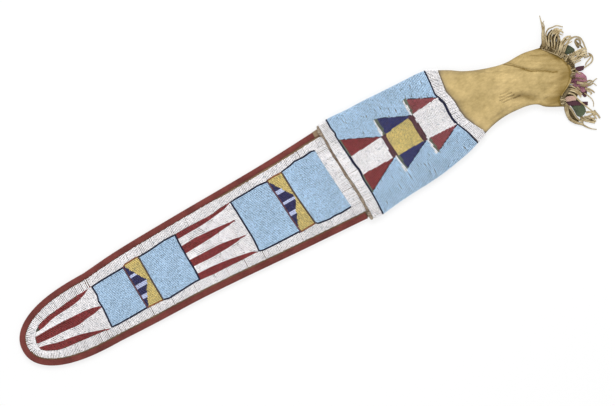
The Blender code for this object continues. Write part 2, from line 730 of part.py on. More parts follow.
def make_tip_tongues():
    """Three red tongues that spread from the tip to the fourth block, and the two white grounds between them."""
    start, lean = LINES[7]
    starts = [start + lean * y - TONGUE_POINT for y in TIP_TONGUE_STARTS]
    ends = [SHOULDER - TIP_TONGUES + short for short in TIP_TONGUE_SHORTS]
    uppers, lowers = [], []
    for k in range(3):
        places = [starts[k] + (ends[k] - starts[k]) * share for share in TIP_TONGUE_CELLS]
        profile = [curve_through(TIP_TONGUE_SHARES, TIP_TONGUE_PROFILE, share) for share in TIP_TONGUE_CELLS]
        widths = [TIP_TONGUE_WIDTHS[k] * share for share in profile]
        if k == 1:
            middles = [
                TIP_TONGUE_END + (TIP_TONGUE_ROOT - TIP_TONGUE_END) * share for share in TIP_TONGUE_CELLS
            ]
            uppers.append([Vector((x, m + w / 2)) for x, m, w in zip(places, middles, widths)])
            lowers.append([Vector((x, m - w / 2)) for x, m, w in zip(places, middles, widths)])
        else:
            side = 1 - k
            edge = lane_edge(starts[k], ends[k], side)
            other = [Vector((x, lane_y(x, side) - side * w)) for x, w in zip(places, widths)]
            uppers.append(edge if side > 0 else other)
            lowers.append(other if side > 0 else edge)
        case_field(f"tip_tongue_{k + 1}", "red", uppers[k] + lowers[k][::-1])
    for k in range(2):
        front = [Vector((start + lean * p.y, p.y)) for p in (lowers[k][0], uppers[k + 1][0])]
        ground = lowers[k] + uppers[k + 1][::-1] + front[::-1]
        case_field(f"tip_ground_{k + 1}", "white", ground)


def make_end_lane():
    """The white lane between the first block and the seam."""
    edges = patch((-WELT / 2 - GAP / 2, SEAM_LEAN), LINES[0])
    case_field("end_lane", "white", outline_of(edges))


def make_case():
    make_case_hides()
    make_edging()
    make_border_lane()
    make_end_lane()
    make_block(1, LINES[0], LINES[1], None)
    make_bar("near_bar", LINES[1], LINES[2])
    make_block(2, LINES[2], LINES[3], "back")
    make_long_tongues()
    make_block(3, LINES[4], LINES[5], "front")
    make_bar("far_bar", LINES[5], LINES[6])
    make_block(4, LINES[6], LINES[7], "back")
    make_tip_tongues()


# Pieces of the pouch


def make_welt():
    """The strip of hide sewn between case and pouch, all the way round."""
    rings = []
    for turn in ROUND_CUTS:
        crown = WELT_CROWN * max(math.sin(turn), 0.0)
        crest = BEADS + GAP
        section = ((-1, -HIDE), (-1, crest - crown), (-0.4, crest), (0.4, crest), (1, crest - crown), (1, -HIDE))
        rings.append([on_seam(share * WELT / 2, turn, lift) for share, lift in section])
    loft("seam_welt", "welt", rings, looped=True)


def make_pouch_hide():
    """The hide tube, from the seam through the beaded end to the open mouth."""
    stations = [POUCH_START, *POUCH_PLACES[1:]]
    stations += [NECK_START + NECK_LENGTH * k / NECK_CELLS for k in range(NECK_CELLS + 1)]
    mesh = bmesh.new()
    rows = []
    for station in stations:
        place = on_seam if station == POUCH_START else pouch_point
        rows.append([mesh.verts.new(place(station, turn, 0.0)) for turn in ROUND_CUTS])
    for row, after in zip(rows, rows[1:]):
        for k in range(ROUND_CELLS):
            following = (k + 1) % ROUND_CELLS
            mesh.faces.new((row[k], after[k], after[following], row[following]))
    thicken(finish(mesh, "pouch_hide", "hide"), HIDE, -1)


def band(name, colour, start, start_wave, end, end_wave):
    """A band of beads all the way round the pouch, between two wandering lines."""
    turns = [-math.pi] + ROUND_CUTS
    ys = [pouch_point(start, turn, BEADS).y for turn in turns]
    low = [Vector((start + wave_at(start_wave, y) + GAP / 2, turn)) for y, turn in zip(ys, turns)]
    high = [Vector((end + wave_at(end_wave, y) - GAP / 2, turn)) for y, turn in zip(ys, turns)]
    sheet(name, colour, low[::-1] + high, pouch_point, POUCH_CUTS_X, ROUND_CUTS, GAP, GAP + BEADS, closed=True)


def squares_top(x):
    return SQUARES_TOP + SQUARES_TOP_SLOPE * x


def figure_steps():
    """The figure's sections: start, end, colour of the triangles and how far they rise."""
    return (
        (FIGURE_START, FIRST_BAR, "red", FIRST_TRIANGLE, "first"),
        (GOLD_START, SECOND_BAR, "navy", NAVY_TRIANGLE, "middle"),
        (SECOND_START, FIGURE_END, "red", LAST_TRIANGLE, "last"),
    )


def line_end(x, y):
    """Where the figure meets the navy line near the pouch's seam or near its neck, at a height y."""
    if x == FIGURE_START:
        return Vector((x + wave_at(POUCH_LINE_WAVE, y), y))
    if x == FIGURE_END:
        return Vector((x + wave_at(NECK_LINE_WAVE, y), y))
    return Vector((x, y))


def down_line(x, upper, lower):
    """Points along a line across the figure, from one y to a lower one."""
    return [line_end(x, upper + (lower - upper) * k / 4) for k in range(5)]


def make_figure():
    """The row of squares down the middle of the pouch, with a triangle above and below each."""
    for start, end, colour, rise, place in figure_steps():
        top, far_top = squares_top(start), squares_top(end)
        near, far = down_line(start, top, SQUARES_BOTTOM), down_line(end, far_top, SQUARES_BOTTOM)
        pouch_field(f"{place}_square", "gold" if colour == "navy" else "white", near + far[::-1])
        pouch_field(f"{place}_triangle_upper", colour, down_line(start, top + rise, top) + [far[0]])
        below = down_line(start, SQUARES_BOTTOM, SQUARES_BOTTOM - rise)
        pouch_field(f"{place}_triangle_lower", colour, below + [far[-1]])
    for start, end, place in ((FIRST_BAR, GOLD_START, "first"), (SECOND_BAR, SECOND_START, "second")):
        tops = [(end, squares_top(end)), (start, squares_top(start))]
        corners = tops + [(start, SQUARES_BOTTOM), (end, SQUARES_BOTTOM)]
        pouch_field(f"{place}_maroon_bar", "maroon", [Vector(c) for c in corners])


def make_blue_wrap():
    """The blue ground, which runs from one side of the figure round the back to the other."""
    upper, lower = [], []
    for start, end, _, rise, _ in figure_steps():
        upper += [line_end(start, squares_top(start) + rise), line_end(end, squares_top(end))]
        lower += [line_end(start, SQUARES_BOTTOM - rise), line_end(end, SQUARES_BOTTOM)]
        if end != FIGURE_END:
            upper.append(Vector((end + MAROON_BAR, squares_top(end + MAROON_BAR))))
            lower.append(Vector((end + MAROON_BAR, SQUARES_BOTTOM)))
    above = [turn_at(p) for p in upper]
    below = [turn_at(p) + Vector((0, 2 * math.pi)) for p in lower]
    turns = [t + 2 * math.pi * lap for lap in (0, 1) for t in ROUND_CUTS]
    behind = [t for t in turns if above[0].y + 0.02 < t < below[0].y - 0.02]
    ahead = [t for t in turns if above[-1].y + 0.02 < t < below[-1].y - 0.02]

    def on_line(x, wave, turn):
        return Vector((x + wave_at(wave, pouch_point(x, turn, BEADS).y), turn))

    outline = above[::-1] + [on_line(FIGURE_START, POUCH_LINE_WAVE, t) for t in behind] + below
    outline += [on_line(FIGURE_END, NECK_LINE_WAVE, t) for t in reversed(ahead)]
    reach = pouch_section(GOLD_START)[1]
    outline = [Vector((p.x, p.y * reach)) for p in outline][::-1]
    spread = [Vector((p.x, p.y / reach)) for p in inset(outline, GAP / 2)]
    sheet("blue_wrap", "blue", spread, pouch_point, POUCH_CUTS_X, turns, GAP, GAP + BEADS)


def make_pouch():
    make_welt()
    make_pouch_hide()
    seam_wave = [(y, y * SEAM_LEAN) for y in (2 * POUCH_LOWER_SIDE[0], 2 * POUCH_UPPER_SIDE[0])]
    band("pouch_lane", "white", POUCH_START, seam_wave, POUCH_LINE_START, POUCH_LINE_WAVE)
    band("pouch_navy_line", "navy", POUCH_LINE_START, POUCH_LINE_WAVE, FIGURE_START, POUCH_LINE_WAVE)
    band("neck_navy_line", "navy", FIGURE_END, NECK_LINE_WAVE, NECK_LANE_START, NECK_LINE_WAVE)
    band("neck_lane", "white", NECK_LANE_START, NECK_LINE_WAVE, NECK_LANE_END, NECK_LINE_WAVE)
    make_figure()
    make_blue_wrap()


# Pieces at the mouth


def smooth_path(points, count):
    """Evenly numbered points on a smooth curve through the given ones."""
    numbers = list(range(len(points)))
    columns = list(zip(*points))
    return [
        Vector([curve_through(numbers, list(column), (len(points) - 1) * k / count) for column in columns])
        for k in range(count + 1)
    ]


def edge_point(y, back):
    """A point on the neck's front, a distance back from the mouth's edge."""
    x = MOUTH + wave_at(MOUTH_EDGE, y) - back
    return Vector((x, y, neck_top(Vector((x, y)), FRINGE_LIFT)))


def make_fringe(name, thongs):
    """A strip sewn on the mouth's edge and slit into thongs."""
    mesh = bmesh.new()
    row = []
    for upper, lower, _ in thongs:
        for y in (upper, lower):
            row.append([mesh.verts.new(edge_point(y, back)) for back in (FRINGE_BASE, FRINGE_BASE / 2, 0)])
    for first, second in zip(row, row[1:]):
        for k in range(2):
            mesh.faces.new((first[k], second[k], second[k + 1], first[k + 1]))
    for k, (upper, lower, points) in enumerate(thongs):
        left, right = row[2 * k][2], row[2 * k + 1][2]
        root = (left.co + right.co) / 2
        path = [tuple(root)] + [(MOUTH + x, y, root.z * share) for x, y, share in points]
        path = smooth_path(path, THONG_STEPS)
        width = (left.co - right.co).length
        for i in range(1, len(path)):
            along = path[min(i + 1, THONG_STEPS)] - path[i - 1]
            out = Vector((-along.y, along.x, 0)).normalized()
            half = (width + (THONG_TIP - width) * i / THONG_STEPS) / 2
            ahead = mesh.verts.new(path[i] + out * half), mesh.verts.new(path[i] - out * half)
            mesh.faces.new((left, right, ahead[1], ahead[0]))
            left, right = ahead
    thicken(finish(mesh, name, "hide"), FRINGE, 1)


def make_strip(name, colour, widths, path, thickness):
    """A flat strip along a path, from one width to another."""
    mesh = bmesh.new()
    before = None
    for i, point in enumerate(path):
        along = path[min(i + 1, THONG_STEPS)] - path[max(i - 1, 0)]
        out = Vector((-along.y, along.x, 0)).normalized()
        half = (widths[0] + (widths[1] - widths[0]) * i / THONG_STEPS) / 2
        row = mesh.verts.new(point + out * half), mesh.verts.new(point - out * half)
        if before:
            mesh.faces.new((before[0], before[1], row[1], row[0]))
        before = row
    thicken(finish(mesh, name, colour), thickness, 1)


def make_thong(name, root_width, end_width, points):
    """A thong sewn on the neck's front that hangs out over its edge."""
    height = neck_top(Vector((MOUTH + points[0][0], points[0][1])), FRINGE_LIFT)
    path = smooth_path([(MOUTH + x, y, height * share) for x, y, share in points], THONG_STEPS)
    make_strip(name, "hide", (root_width, end_width), path, FRINGE)


def make_tab(name, colour, root_width, end_width, points):
    """A strip of cloth that lies on the back hide inside the mouth and droops past its edge."""
    path = smooth_path([(MOUTH + x, y, HIDE + GAP) for x, y in points], THONG_STEPS)
    for i in (THONG_STEPS - 1, THONG_STEPS):
        path[i].z += (TAB_REST - HIDE - GAP) * (i + 2 - THONG_STEPS) / 2
    make_strip(name, colour, (root_width, end_width), path, CLOTH)


def make_mouth():
    make_fringe("upper_fringe", UPPER_THONGS)
    make_fringe("middle_fringe", MIDDLE_THONGS)
    make_fringe("lower_fringe", LOWER_THONGS)
    make_thong("curled_thong", *CURLED_THONG)
    make_thong("loop_thong", *LOOP_THONG)
    for tab in TABS:
        make_tab(*tab)


CASE_CUTS_X = [near + (far - near) * s for near, far in zip(CASE_PLACES, CASE_PLACES[1:]) for s in (0, 0.5)]
CASE_CUTS_X += [SHOULDER - TIP_LENGTH * k / TIP_CELLS for k in range(TIP_CELLS)]
CASE_CUTS_ACROSS = [2 * k / CASE_CELLS - 1 for k in range(1, CASE_CELLS)]
POUCH_CUTS_X = POUCH_PLACES[1:] + (NECK_START,)
ROUND_CUTS = [2 * math.pi * (k / ROUND_CELLS - 0.5) for k in range(1, ROUND_CELLS + 1)]

for old in list(bpy.data.objects):
    bpy.data.objects.remove(old, do_unlink=True)
parts = bpy.data.collections.new("pipe_bag")
bpy.context.scene.collection.children.link(parts)
make_case()
make_pouch()
make_mouth()
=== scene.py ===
"""A beaded hide pipe bag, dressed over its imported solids.

The bag lies on its back with its beaded front up. +X runs from the round tip of the case to the open mouth, +Y
across and +Z up, and the origin is the middle of the seam, on the underside. Lengths are in metres, and the
outlines of the beadwork in millimetres.
"""

import math
import random

import bmesh
import bpy
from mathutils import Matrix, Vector, noise


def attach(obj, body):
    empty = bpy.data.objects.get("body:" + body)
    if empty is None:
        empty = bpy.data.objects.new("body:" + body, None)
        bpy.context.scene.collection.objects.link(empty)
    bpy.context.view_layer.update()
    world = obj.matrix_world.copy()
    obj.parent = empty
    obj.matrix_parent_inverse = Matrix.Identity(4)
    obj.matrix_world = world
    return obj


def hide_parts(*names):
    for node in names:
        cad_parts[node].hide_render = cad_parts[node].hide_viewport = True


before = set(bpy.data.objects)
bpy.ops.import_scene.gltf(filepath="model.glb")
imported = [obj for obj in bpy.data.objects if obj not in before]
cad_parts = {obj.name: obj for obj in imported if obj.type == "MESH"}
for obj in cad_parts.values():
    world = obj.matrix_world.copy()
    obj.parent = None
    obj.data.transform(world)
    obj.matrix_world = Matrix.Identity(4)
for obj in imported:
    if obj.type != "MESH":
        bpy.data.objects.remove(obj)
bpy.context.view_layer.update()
scene = bpy.context.scene

# The camera looks straight down, turned so that the bag runs up to the right.
CAMERA_OVER = (-0.0675, -0.0069)
CAMERA_HEIGHT = 2.404
CAMERA_TURN = -29.0
CAMERA_LENS = 100
CAMERA_SENSOR = 36

lens = bpy.data.cameras.new("camera")
lens.lens = CAMERA_LENS
lens.sensor_width = CAMERA_SENSOR
camera = bpy.data.objects.new("camera", lens)
camera.location = (*CAMERA_OVER, CAMERA_HEIGHT)
camera.rotation_euler = (0, 0, math.radians(CAMERA_TURN))
scene.collection.objects.link(camera)
scene.camera = camera

# A plain pale floor under soft studio light. The camera and glossy rays see it as white, but for the shadow.
FLOOR_SIZE = 60.0
FLOOR_DROP = 0.0002
FLOOR_GLOW = 0.74
SKY_GLOW = 0.70
KEY_POWER = 43.0
FILL_POWER = 16.0


def feed(socket, value):
    """Links an input to an output or to a node's first output, or else sets it."""
    if isinstance(value, bpy.types.Node):
        value = value.outputs[0]
    if isinstance(value, bpy.types.NodeSocket):
        socket.id_data.links.new(value, socket)
    elif socket.type == "RGBA" and len(value) == 3:
        socket.default_value = (*value, 1)
    else:
        socket.default_value = value


def node_of(tree, kind, *inputs, **values):
    """A node with the inputs given, by place or by a name with a capital, and with the settings given."""
    node = tree.nodes.new(kind)
    for name, value in values.items():
        if name.islower():
            setattr(node, name, value)
    for name, value in (*enumerate(inputs), *values.items()):
        if not str(name).islower():
            feed(node.inputs[name if isinstance(name, int) else name.replace("_", " ")], value)
    return node


def ranged(tree, value, low, high, to_low=0.0, to_high=1.0):
    """A value taken from one range to another."""
    return node_of(
        tree, "ShaderNodeMapRange", Value=value, From_Min=low, From_Max=high, To_Min=to_low, To_Max=to_high
    )


def blended(tree, share, one, other):
    """A colour between two."""
    mix = node_of(tree, "ShaderNodeMix", data_type="RGBA")
    for place, value in ((0, share), (6, one), (7, other)):
        feed(mix.inputs[place], value)
    return mix.outputs[2]


floor_data = bpy.data.meshes.new("floor")
half = FLOOR_SIZE / 2
corners = [(half * x, half * y, -FLOOR_DROP) for x, y in ((-1, -1), (1, -1), (1, 1), (-1, 1))]
floor_data.from_pydata(corners, [], [(0, 1, 2, 3)])
floor = bpy.data.objects.new("floor", floor_data)
scene.collection.objects.link(floor)

floor_paint = bpy.data.materials.new("pale_floor")
floor_paint.use_nodes = True
tree = floor_paint.node_tree
tree.nodes.clear()
rays = node_of(tree, "ShaderNodeLightPath").outputs
seen = node_of(tree, "ShaderNodeMath", rays["Is Camera Ray"], rays["Is Glossy Ray"], operation="MAXIMUM")
paint = node_of(tree, "ShaderNodeBsdfDiffuse", Color=(0.80, 0.80, 0.80))
glow = node_of(tree, "ShaderNodeEmission", Color=(1, 1, 1), Strength=1.0)
bright = node_of(tree, "ShaderNodeMixShader", FLOOR_GLOW, paint, glow)
mixed = node_of(tree, "ShaderNodeMixShader", seen, paint, bright)
node_of(tree, "ShaderNodeOutputMaterial", Surface=mixed)
floor_data.materials.append(floor_paint)

world = bpy.data.worlds.new("studio")
world.use_nodes = True
scene.world = world
tree = world.node_tree
tree.nodes.clear()
rays = node_of(tree, "ShaderNodeLightPath").outputs
strength = ranged(tree, rays["Is Camera Ray"], 0.0, 1.0, SKY_GLOW)
sky = node_of(tree, "ShaderNodeBackground", Color=(1, 1, 1), Strength=strength)
node_of(tree, "ShaderNodeOutputWorld", Surface=sky)

for name, place, size, power in (
    ("key_light", (0.75, 1.5, 1.9), 1.2, KEY_POWER),
    ("fill_light", (-1.2, -1.2, 1.9), 1.8, FILL_POWER),
):
    lamp = bpy.data.lights.new(name, "AREA")
    lamp.size = size
    lamp.energy = power
    light = bpy.data.objects.new(name, lamp)
    light.location = place
    light.rotation_euler = (-Vector(place)).to_track_quat("-Z", "Y").to_euler()
    scene.collection.objects.link(light)
scene.view_settings.view_transform = "Standard"


# The case is two long strips of tanned hide with a round tip, sewn back to back round the edge. The front one is
# pushed up in the middle. Only a thin line of it shows, between the beads and the wool.
HIDE = 0.0015
WOOL = 0.0010
GAP = 0.0003
CASE_PLACES = (0.0, -0.1002, -0.2504, -0.3369, -0.3913)
CASE_WIDTHS = (0.1440, 0.1328, 0.1201, 0.1152, 0.1085)
CASE_MIDDLES = (0.0052, 0.0050, 0.0074, 0.0066, 0.0050)
SHOULDER = CASE_PLACES[-1]
TIP_LENGTH = 0.1266
TIP_ROUND_X = 2.6
TIP_ROUND_Y = 2.2
RIM_TOP = WOOL + 2 * (GAP + HIDE)
CASE_RISE = 0.0062


def curve_through(places, values, place):
    """Height at a place of a smooth curve through the values, level past its ends."""
    if places[0] > places[-1]:
        places, values = places[::-1], values[::-1]
    last = len(places) - 1
    place = min(max(place, places[0]), places[-1])
    i = max(k for k in range(last) if places[k] <= place)
    span = places[i + 1] - places[i]

    def slope(k):
        before, after = max(k - 1, 0), min(k + 1, last)
        return (values[after] - values[before]) / (places[after] - places[before])

    t = (place - places[i]) / span
    start, end = slope(i) * span, slope(i + 1) * span
    rise = values[i + 1] - values[i]
    return values[i] + t * (start + t * (3 * rise - 2 * start - end + t * (start + end - 2 * rise)))


def clamped(value):
    """A value kept between nought and one."""
    return min(max(value, 0.0), 1.0)


def power(base, exponent):
    """A power that keeps the sign of its base."""
    return math.copysign(abs(base) ** exponent, base)


def case_side(x, side, band=0.0):
    """The y of the case's long edge, a band inside it."""
    half = curve_through(CASE_PLACES, CASE_WIDTHS, x) / 2
    return curve_through(CASE_PLACES, CASE_MIDDLES, x) + side * (half - band)


def tip_edge(angle, band):
    """A point of the tip's round edge, a band inside it, from the upper shoulder at 90 degrees to the lower one."""
    half = CASE_WIDTHS[-1] / 2
    along = max(math.cos(angle), 0.0) ** (2 / TIP_ROUND_X)
    out = power(math.sin(angle), 2 / TIP_ROUND_Y)
    normal = Vector((
        -TIP_ROUND_X * along ** (TIP_ROUND_X - 1) / TIP_LENGTH,
        TIP_ROUND_Y * power(out, TIP_ROUND_Y - 1) / half,
    )).normalized()
    return Vector((SHOULDER - along * TIP_LENGTH, CASE_MIDDLES[-1] + out * half)) - band * normal


def case_top(x, y, lift=0.0):
    """A point above the case's front hide."""
    half = curve_through(CASE_PLACES, CASE_WIDTHS, x) / 2
    across = (y - curve_through(CASE_PLACES, CASE_MIDDLES, x)) / half
    edge = min((max(SHOULDER - x, 0.0) / TIP_LENGTH) ** TIP_ROUND_X + abs(across) ** TIP_ROUND_Y, 1.0)
    return Vector((x, y, RIM_TOP + CASE_RISE * (1 - edge) + lift))


def dress(material, **values):
    """Sets or links inputs of a material's shader."""
    shader = material.node_tree.nodes["Principled BSDF"]
    for name, value in values.items():
        feed(shader.inputs[name.replace("_", " ")], value)


def new_material(name):
    """A material, its nodes, and the coordinates in which its textures are laid."""
    material = bpy.data.materials.new(name)
    material.use_nodes = True
    tree = material.node_tree
    return material, tree, node_of(tree, "ShaderNodeTexCoord").outputs["Object"]


def suede(name, light, dark, grime_and_shade=(0.10, 0.07, 0.045), cloud=26.0, far=None):
    """Tanned hide: cloudy, with a fine nap, and darkened where the mesh says so, for grime and for painted shade, in
    another colour far along.
    """
    material, tree, place = new_material(name)
    clouds = node_of(tree, "ShaderNodeTexNoise", Vector=place, Scale=cloud, Detail=6.0, Roughness=0.7)
    tones = blended(tree, ranged(tree, clouds, 0.32, 0.68), dark, light)
    stretched = node_of(tree, "ShaderNodeMapping", Vector=place, Scale=(0.35, 1.0, 1.0))
    nap = node_of(tree, "ShaderNodeTexNoise", Vector=stretched, Scale=420.0, Detail=4.0)
    napped = ranged(tree, nap, 0.0, 1.0, 0.80, 1.18)
    shaded = node_of(tree, "ShaderNodeVectorMath", tones, napped, operation="MULTIPLY")
    # The mesh's attribute darkens the hide towards one colour, both for real grime and for painted shade
    grime_and_shade_share = node_of(tree, "ShaderNodeAttribute", attribute_name="grime_and_shade").outputs["Fac"]
    if far:
        along = node_of(tree, "ShaderNodeSeparateXYZ", Vector=place)
        grime_and_shade = blended(tree, ranged(tree, along, 0.20, 0.29), grime_and_shade, far)
    dress(
        material, Base_Color=blended(tree, grime_and_shade_share, shaded, grime_and_shade), Roughness=0.92, Specular_IOR_Level=0.15,
        Sheen_Weight=0.25, Sheen_Roughness=0.5,
        Normal=node_of(tree, "ShaderNodeBump", Strength=0.55, Distance=0.0005, Height=nap),
    )
    return material


back_suede = suede("back_suede", (0.250, 0.200, 0.135), (0.150, 0.115, 0.080))
front_suede = suede("front_suede", (0.230, 0.145, 0.082), (0.140, 0.086, 0.048))
for name, hide_material in (("case_back_hide", back_suede), ("case_front_hide", front_suede)):
    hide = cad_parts[name]
    hide.data.materials.clear()
    hide.data.materials.append(hide_material)


# A strip of dark red wool cloth is folded over both rims of the case and sewn through. It is felted, so it has no
# weave to see, and its inner edge wanders a little. At the seam its upper end goes under a scrap of tan hide.
EDGING = 0.0085
EDGING_STEP = 0.0022
WANDER = 0.0006
DRAWN_IN = 0.0007
SWELL = 0.00012
BACK = -0.0002
EDGING_START = -0.0022
SCRAP_START = -0.0050
SCRAP_STEP = 0.0009
EDGE_STEPS = 1300
TIP_STEPS = 500
BARE_AFTER = -0.185
BARE_FADE = 0.020


def object_of(mesh, name):
    """An object of a mesh, smooth and with its faces turned outward."""
    bmesh.ops.recalc_face_normals(mesh, faces=mesh.faces[:])
    mesh.normal_update()
    data = bpy.data.meshes.new(name)
    mesh.to_mesh(data)
    mesh.free()
    data.shade_smooth()
    piece = bpy.data.objects.new(name, data)
    scene.collection.objects.link(piece)
    return piece


def stand_in(piece, *nodes):
    """Lets a piece ride on the bag, in the place of the solids named."""
    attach(piece, "root")
    if nodes:
        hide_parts(*nodes)


def finished(mesh, name, material, *nodes):
    """Makes a mesh a piece of the bag."""
    piece = object_of(mesh, name)
    piece.data.materials.append(material)
    stand_in(piece, *nodes)
    return piece


def skin(mesh, rings, ends=True, closed=False):
    """Faces between rings of points, from each to the next, and over the first and the last."""
    for ring, after in zip(rings, rings[1:] + rings[:1] * closed):
        for k, point in enumerate(ring):
            following = (k + 1) % len(ring)
            mesh.faces.new((point, after[k], after[following], ring[following]))
    if ends:
        mesh.faces.new(rings[0])
        mesh.faces.new(rings[-1][::-1])


def rim_walk(step, start):
    """Places along the case's edge, from the seam over the tip and back: functions from a band to a plan point."""
    upper = [start + (SHOULDER - start) * k / EDGE_STEPS for k in range(EDGE_STEPS)]
    angles = [math.pi / 2 * (1 - k / TIP_STEPS) for k in range(2 * TIP_STEPS + 1)]

    def straight(x, side):
        return lambda band: Vector((x, case_side(x, side, band)))

    def round_end(angle):
        return lambda band: tip_edge(angle, band)

    places = [straight(x, 1) for x in upper] + [round_end(a) for a in angles]
    places += [straight(x, -1) for x in reversed(upper)]
    kept, reach = [places[0]], 0.0
    for before, after in zip(places, places[1:]):
        reach += (after(EDGING) - before(EDGING)).length
        if reach >= step:
            kept.append(after)
            reach = 0.0
    return kept


def bare_share(place):
    """How far the wool leaves hide bare beside the beads: all along the lower rim, and half of the upper."""
    return 1.0 if place.y < 0 else clamped((place.x - BARE_AFTER) / BARE_FADE)


def fold_over(name, material, places, thickness, inner, *nodes, clear=0.0):
    """A strip folded over the rim: its section at each place is a C with a rounded back, clear of what it covers."""
    mesh = bmesh.new()
    rings = []
    for k, place in enumerate(places):
        wander = WANDER * noise.noise(Vector((k * 0.11, 0.0, 0.0)))
        wander -= DRAWN_IN * bare_share(place(inner)) * (place(inner).y > 0)
        w, e = thickness + SWELL * noise.noise(Vector((k * 0.45, 5.0, 0.0))), inner + wander
        low, half_way, top = (case_top(*place(band), GAP).z for band in (WOOL, e * 0.55, e))
        back = BACK - clear
        section = (
            (e, clear), (e * 0.5, clear), (w, clear), (0.35 * w + back, 0.35 * w + clear), (back, 0.5 * (low + w)),
            (0.3 * w + back, low + 0.5 * w), (w, low + w), (e * 0.55, half_way + 1.25 * w), (e - 0.0005, top + w),
            (e, top + 0.6 * w), (e - 0.0001, top + 0.05 * w), (e * 0.55, half_way), (WOOL, low), (WOOL, WOOL),
            (e, WOOL),
        )
        rings.append([mesh.verts.new((*place(band), z)) for band, z in section])
    skin(mesh, rings)
    bmesh.ops.triangulate(mesh, faces=[f for f in mesh.faces if len(f.verts) > 4])
    return finished(mesh, name, material, *nodes)


def felt(name, light, dark):
    """Felted wool cloth: matt, with a short matted pile."""
    material, tree, place = new_material(name)
    patches = node_of(tree, "ShaderNodeTexNoise", Vector=place, Scale=55.0, Detail=4.0)
    pile = node_of(tree, "ShaderNodeTexNoise", Vector=place, Scale=900.0, Detail=3.0, Distortion=0.8)
    both = node_of(tree, "ShaderNodeMath", patches, pile, operation="ADD")
    dress(
        material, Base_Color=blended(tree, ranged(tree, both, 0.75, 1.25), dark, light), Roughness=0.96,
        Specular_IOR_Level=0.1, Sheen_Weight=0.35, Sheen_Roughness=0.6, Sheen_Tint=(0.9, 0.45, 0.40),
        Normal=node_of(tree, "ShaderNodeBump", Strength=0.8, Distance=0.0006, Height=pile),
    )
    return material


red_wool = felt("red_wool", (0.168, 0.041, 0.034), (0.090, 0.021, 0.018))
tan_suede = suede("tan_suede", (0.280, 0.195, 0.122), (0.165, 0.108, 0.068))
fold_over("wool_binding", red_wool, rim_walk(EDGING_STEP, EDGING_START), WOOL, EDGING, "wool_edging")
scrap = [lambda band, x=SCRAP_START - SCRAP_STEP * k: Vector((x, case_side(x, 1, band))) for k in range(11)]
fold_over("hide_scrap", tan_suede, scrap, WOOL + 0.0005, EDGING + 0.0003, clear=0.0003)


# Glass seed beads are strung on sinew and sewn down row by row. Geometry Nodes set one bead at every place along
# the threads, lying along its thread with its flat side on the hide, each a little off in size, angle and tint.
BEAD_LENGTH = 0.00147
BEAD_WIDTH = 0.00206
BEAD_HEIGHT = 0.00165
BEAD_SIDES = (-50, 10, 90, 170, 230)
LANE_HUMP = 0.0006
UNEVENNESS = 1.25
PITCH = 2.0


def bead_of(name, waists):
    """One bead of unit size lying along X, with a ring of points for each place and share of its girth."""
    mesh = bmesh.new()
    angles = [math.radians(degrees) for degrees in BEAD_SIDES]
    skin(mesh, [
        [mesh.verts.new((x, girth * math.cos(a) / 2, 0.42 + girth * math.sin(a) * 0.52)) for a in angles]
        for x, girth in waists
    ])
    bmesh.ops.triangulate(mesh, faces=mesh.faces[:])
    return object_of(mesh, name)


def stringing():
    """The tree that turns places on the threads into beads."""
    tree = bpy.data.node_groups.new("strung_beads", "GeometryNodeTree")
    for name, kind in (
        ("Geometry", "Geometry"), ("Bead", "Object"), ("Bead Size", "Vector"), ("Unevenness", "Float"),
        ("Seed", "Int"), ("Glass", "Material"),
    ):
        tree.interface.new_socket(name, in_out="INPUT", socket_type="NodeSocket" + kind)
    tree.interface.new_socket("Geometry", in_out="OUTPUT", socket_type="NodeSocketGeometry")
    given = tree.nodes.new("NodeGroupInput").outputs
    bead = node_of(tree, "GeometryNodeObjectInfo", Object=given["Bead"]).outputs["Geometry"]
    along, up = (
        node_of(tree, "GeometryNodeInputNamedAttribute", Name=name, data_type="FLOAT_VECTOR")
        for name in ("along", "up")
    )
    laid = node_of(tree, "FunctionNodeAxesToRotation", along, up, primary_axis="X", secondary_axis="Z")

    def shaken(low, high, seed):
        """A random vector between two that grow with the unevenness."""
        moved = node_of(tree, "ShaderNodeMath", given["Seed"], seed, operation="ADD")
        chance = node_of(tree, "FunctionNodeRandomValue", low, high, Seed=moved, data_type="FLOAT_VECTOR")
        return node_of(tree, "ShaderNodeVectorMath", chance, Scale=given["Unevenness"], operation="SCALE")

    tilt = shaken((-0.16, -0.10, -0.14), (0.16, 0.10, 0.14), 1)
    turned = node_of(tree, "FunctionNodeRotateRotation", laid, tilt, rotation_space="LOCAL")
    odd = shaken((-0.10, -0.07, -0.09), (0.03, 0.05, 0.09), 2)
    growth = node_of(tree, "ShaderNodeVectorMath", odd, (1, 1, 1), operation="ADD")
    size = node_of(tree, "ShaderNodeVectorMath", growth, given["Bead Size"], operation="MULTIPLY")
    placed = node_of(
        tree, "GeometryNodeInstanceOnPoints", Points=given["Geometry"], Instance=bead, Rotation=turned, Scale=size
    )
    tint = node_of(tree, "FunctionNodeRandomValue", Seed=given["Seed"]).outputs[1]
    tinted = node_of(
        tree, "GeometryNodeStoreNamedAttribute", Geometry=placed, Name="tint", Value=tint, domain="INSTANCE"
    )
    real = node_of(tree, "GeometryNodeRealizeInstances", Geometry=tinted)
    glazed = node_of(tree, "GeometryNodeSetMaterial", Geometry=real, Material=given["Glass"])
    node_of(tree, "NodeGroupOutput", glazed)
    return tree


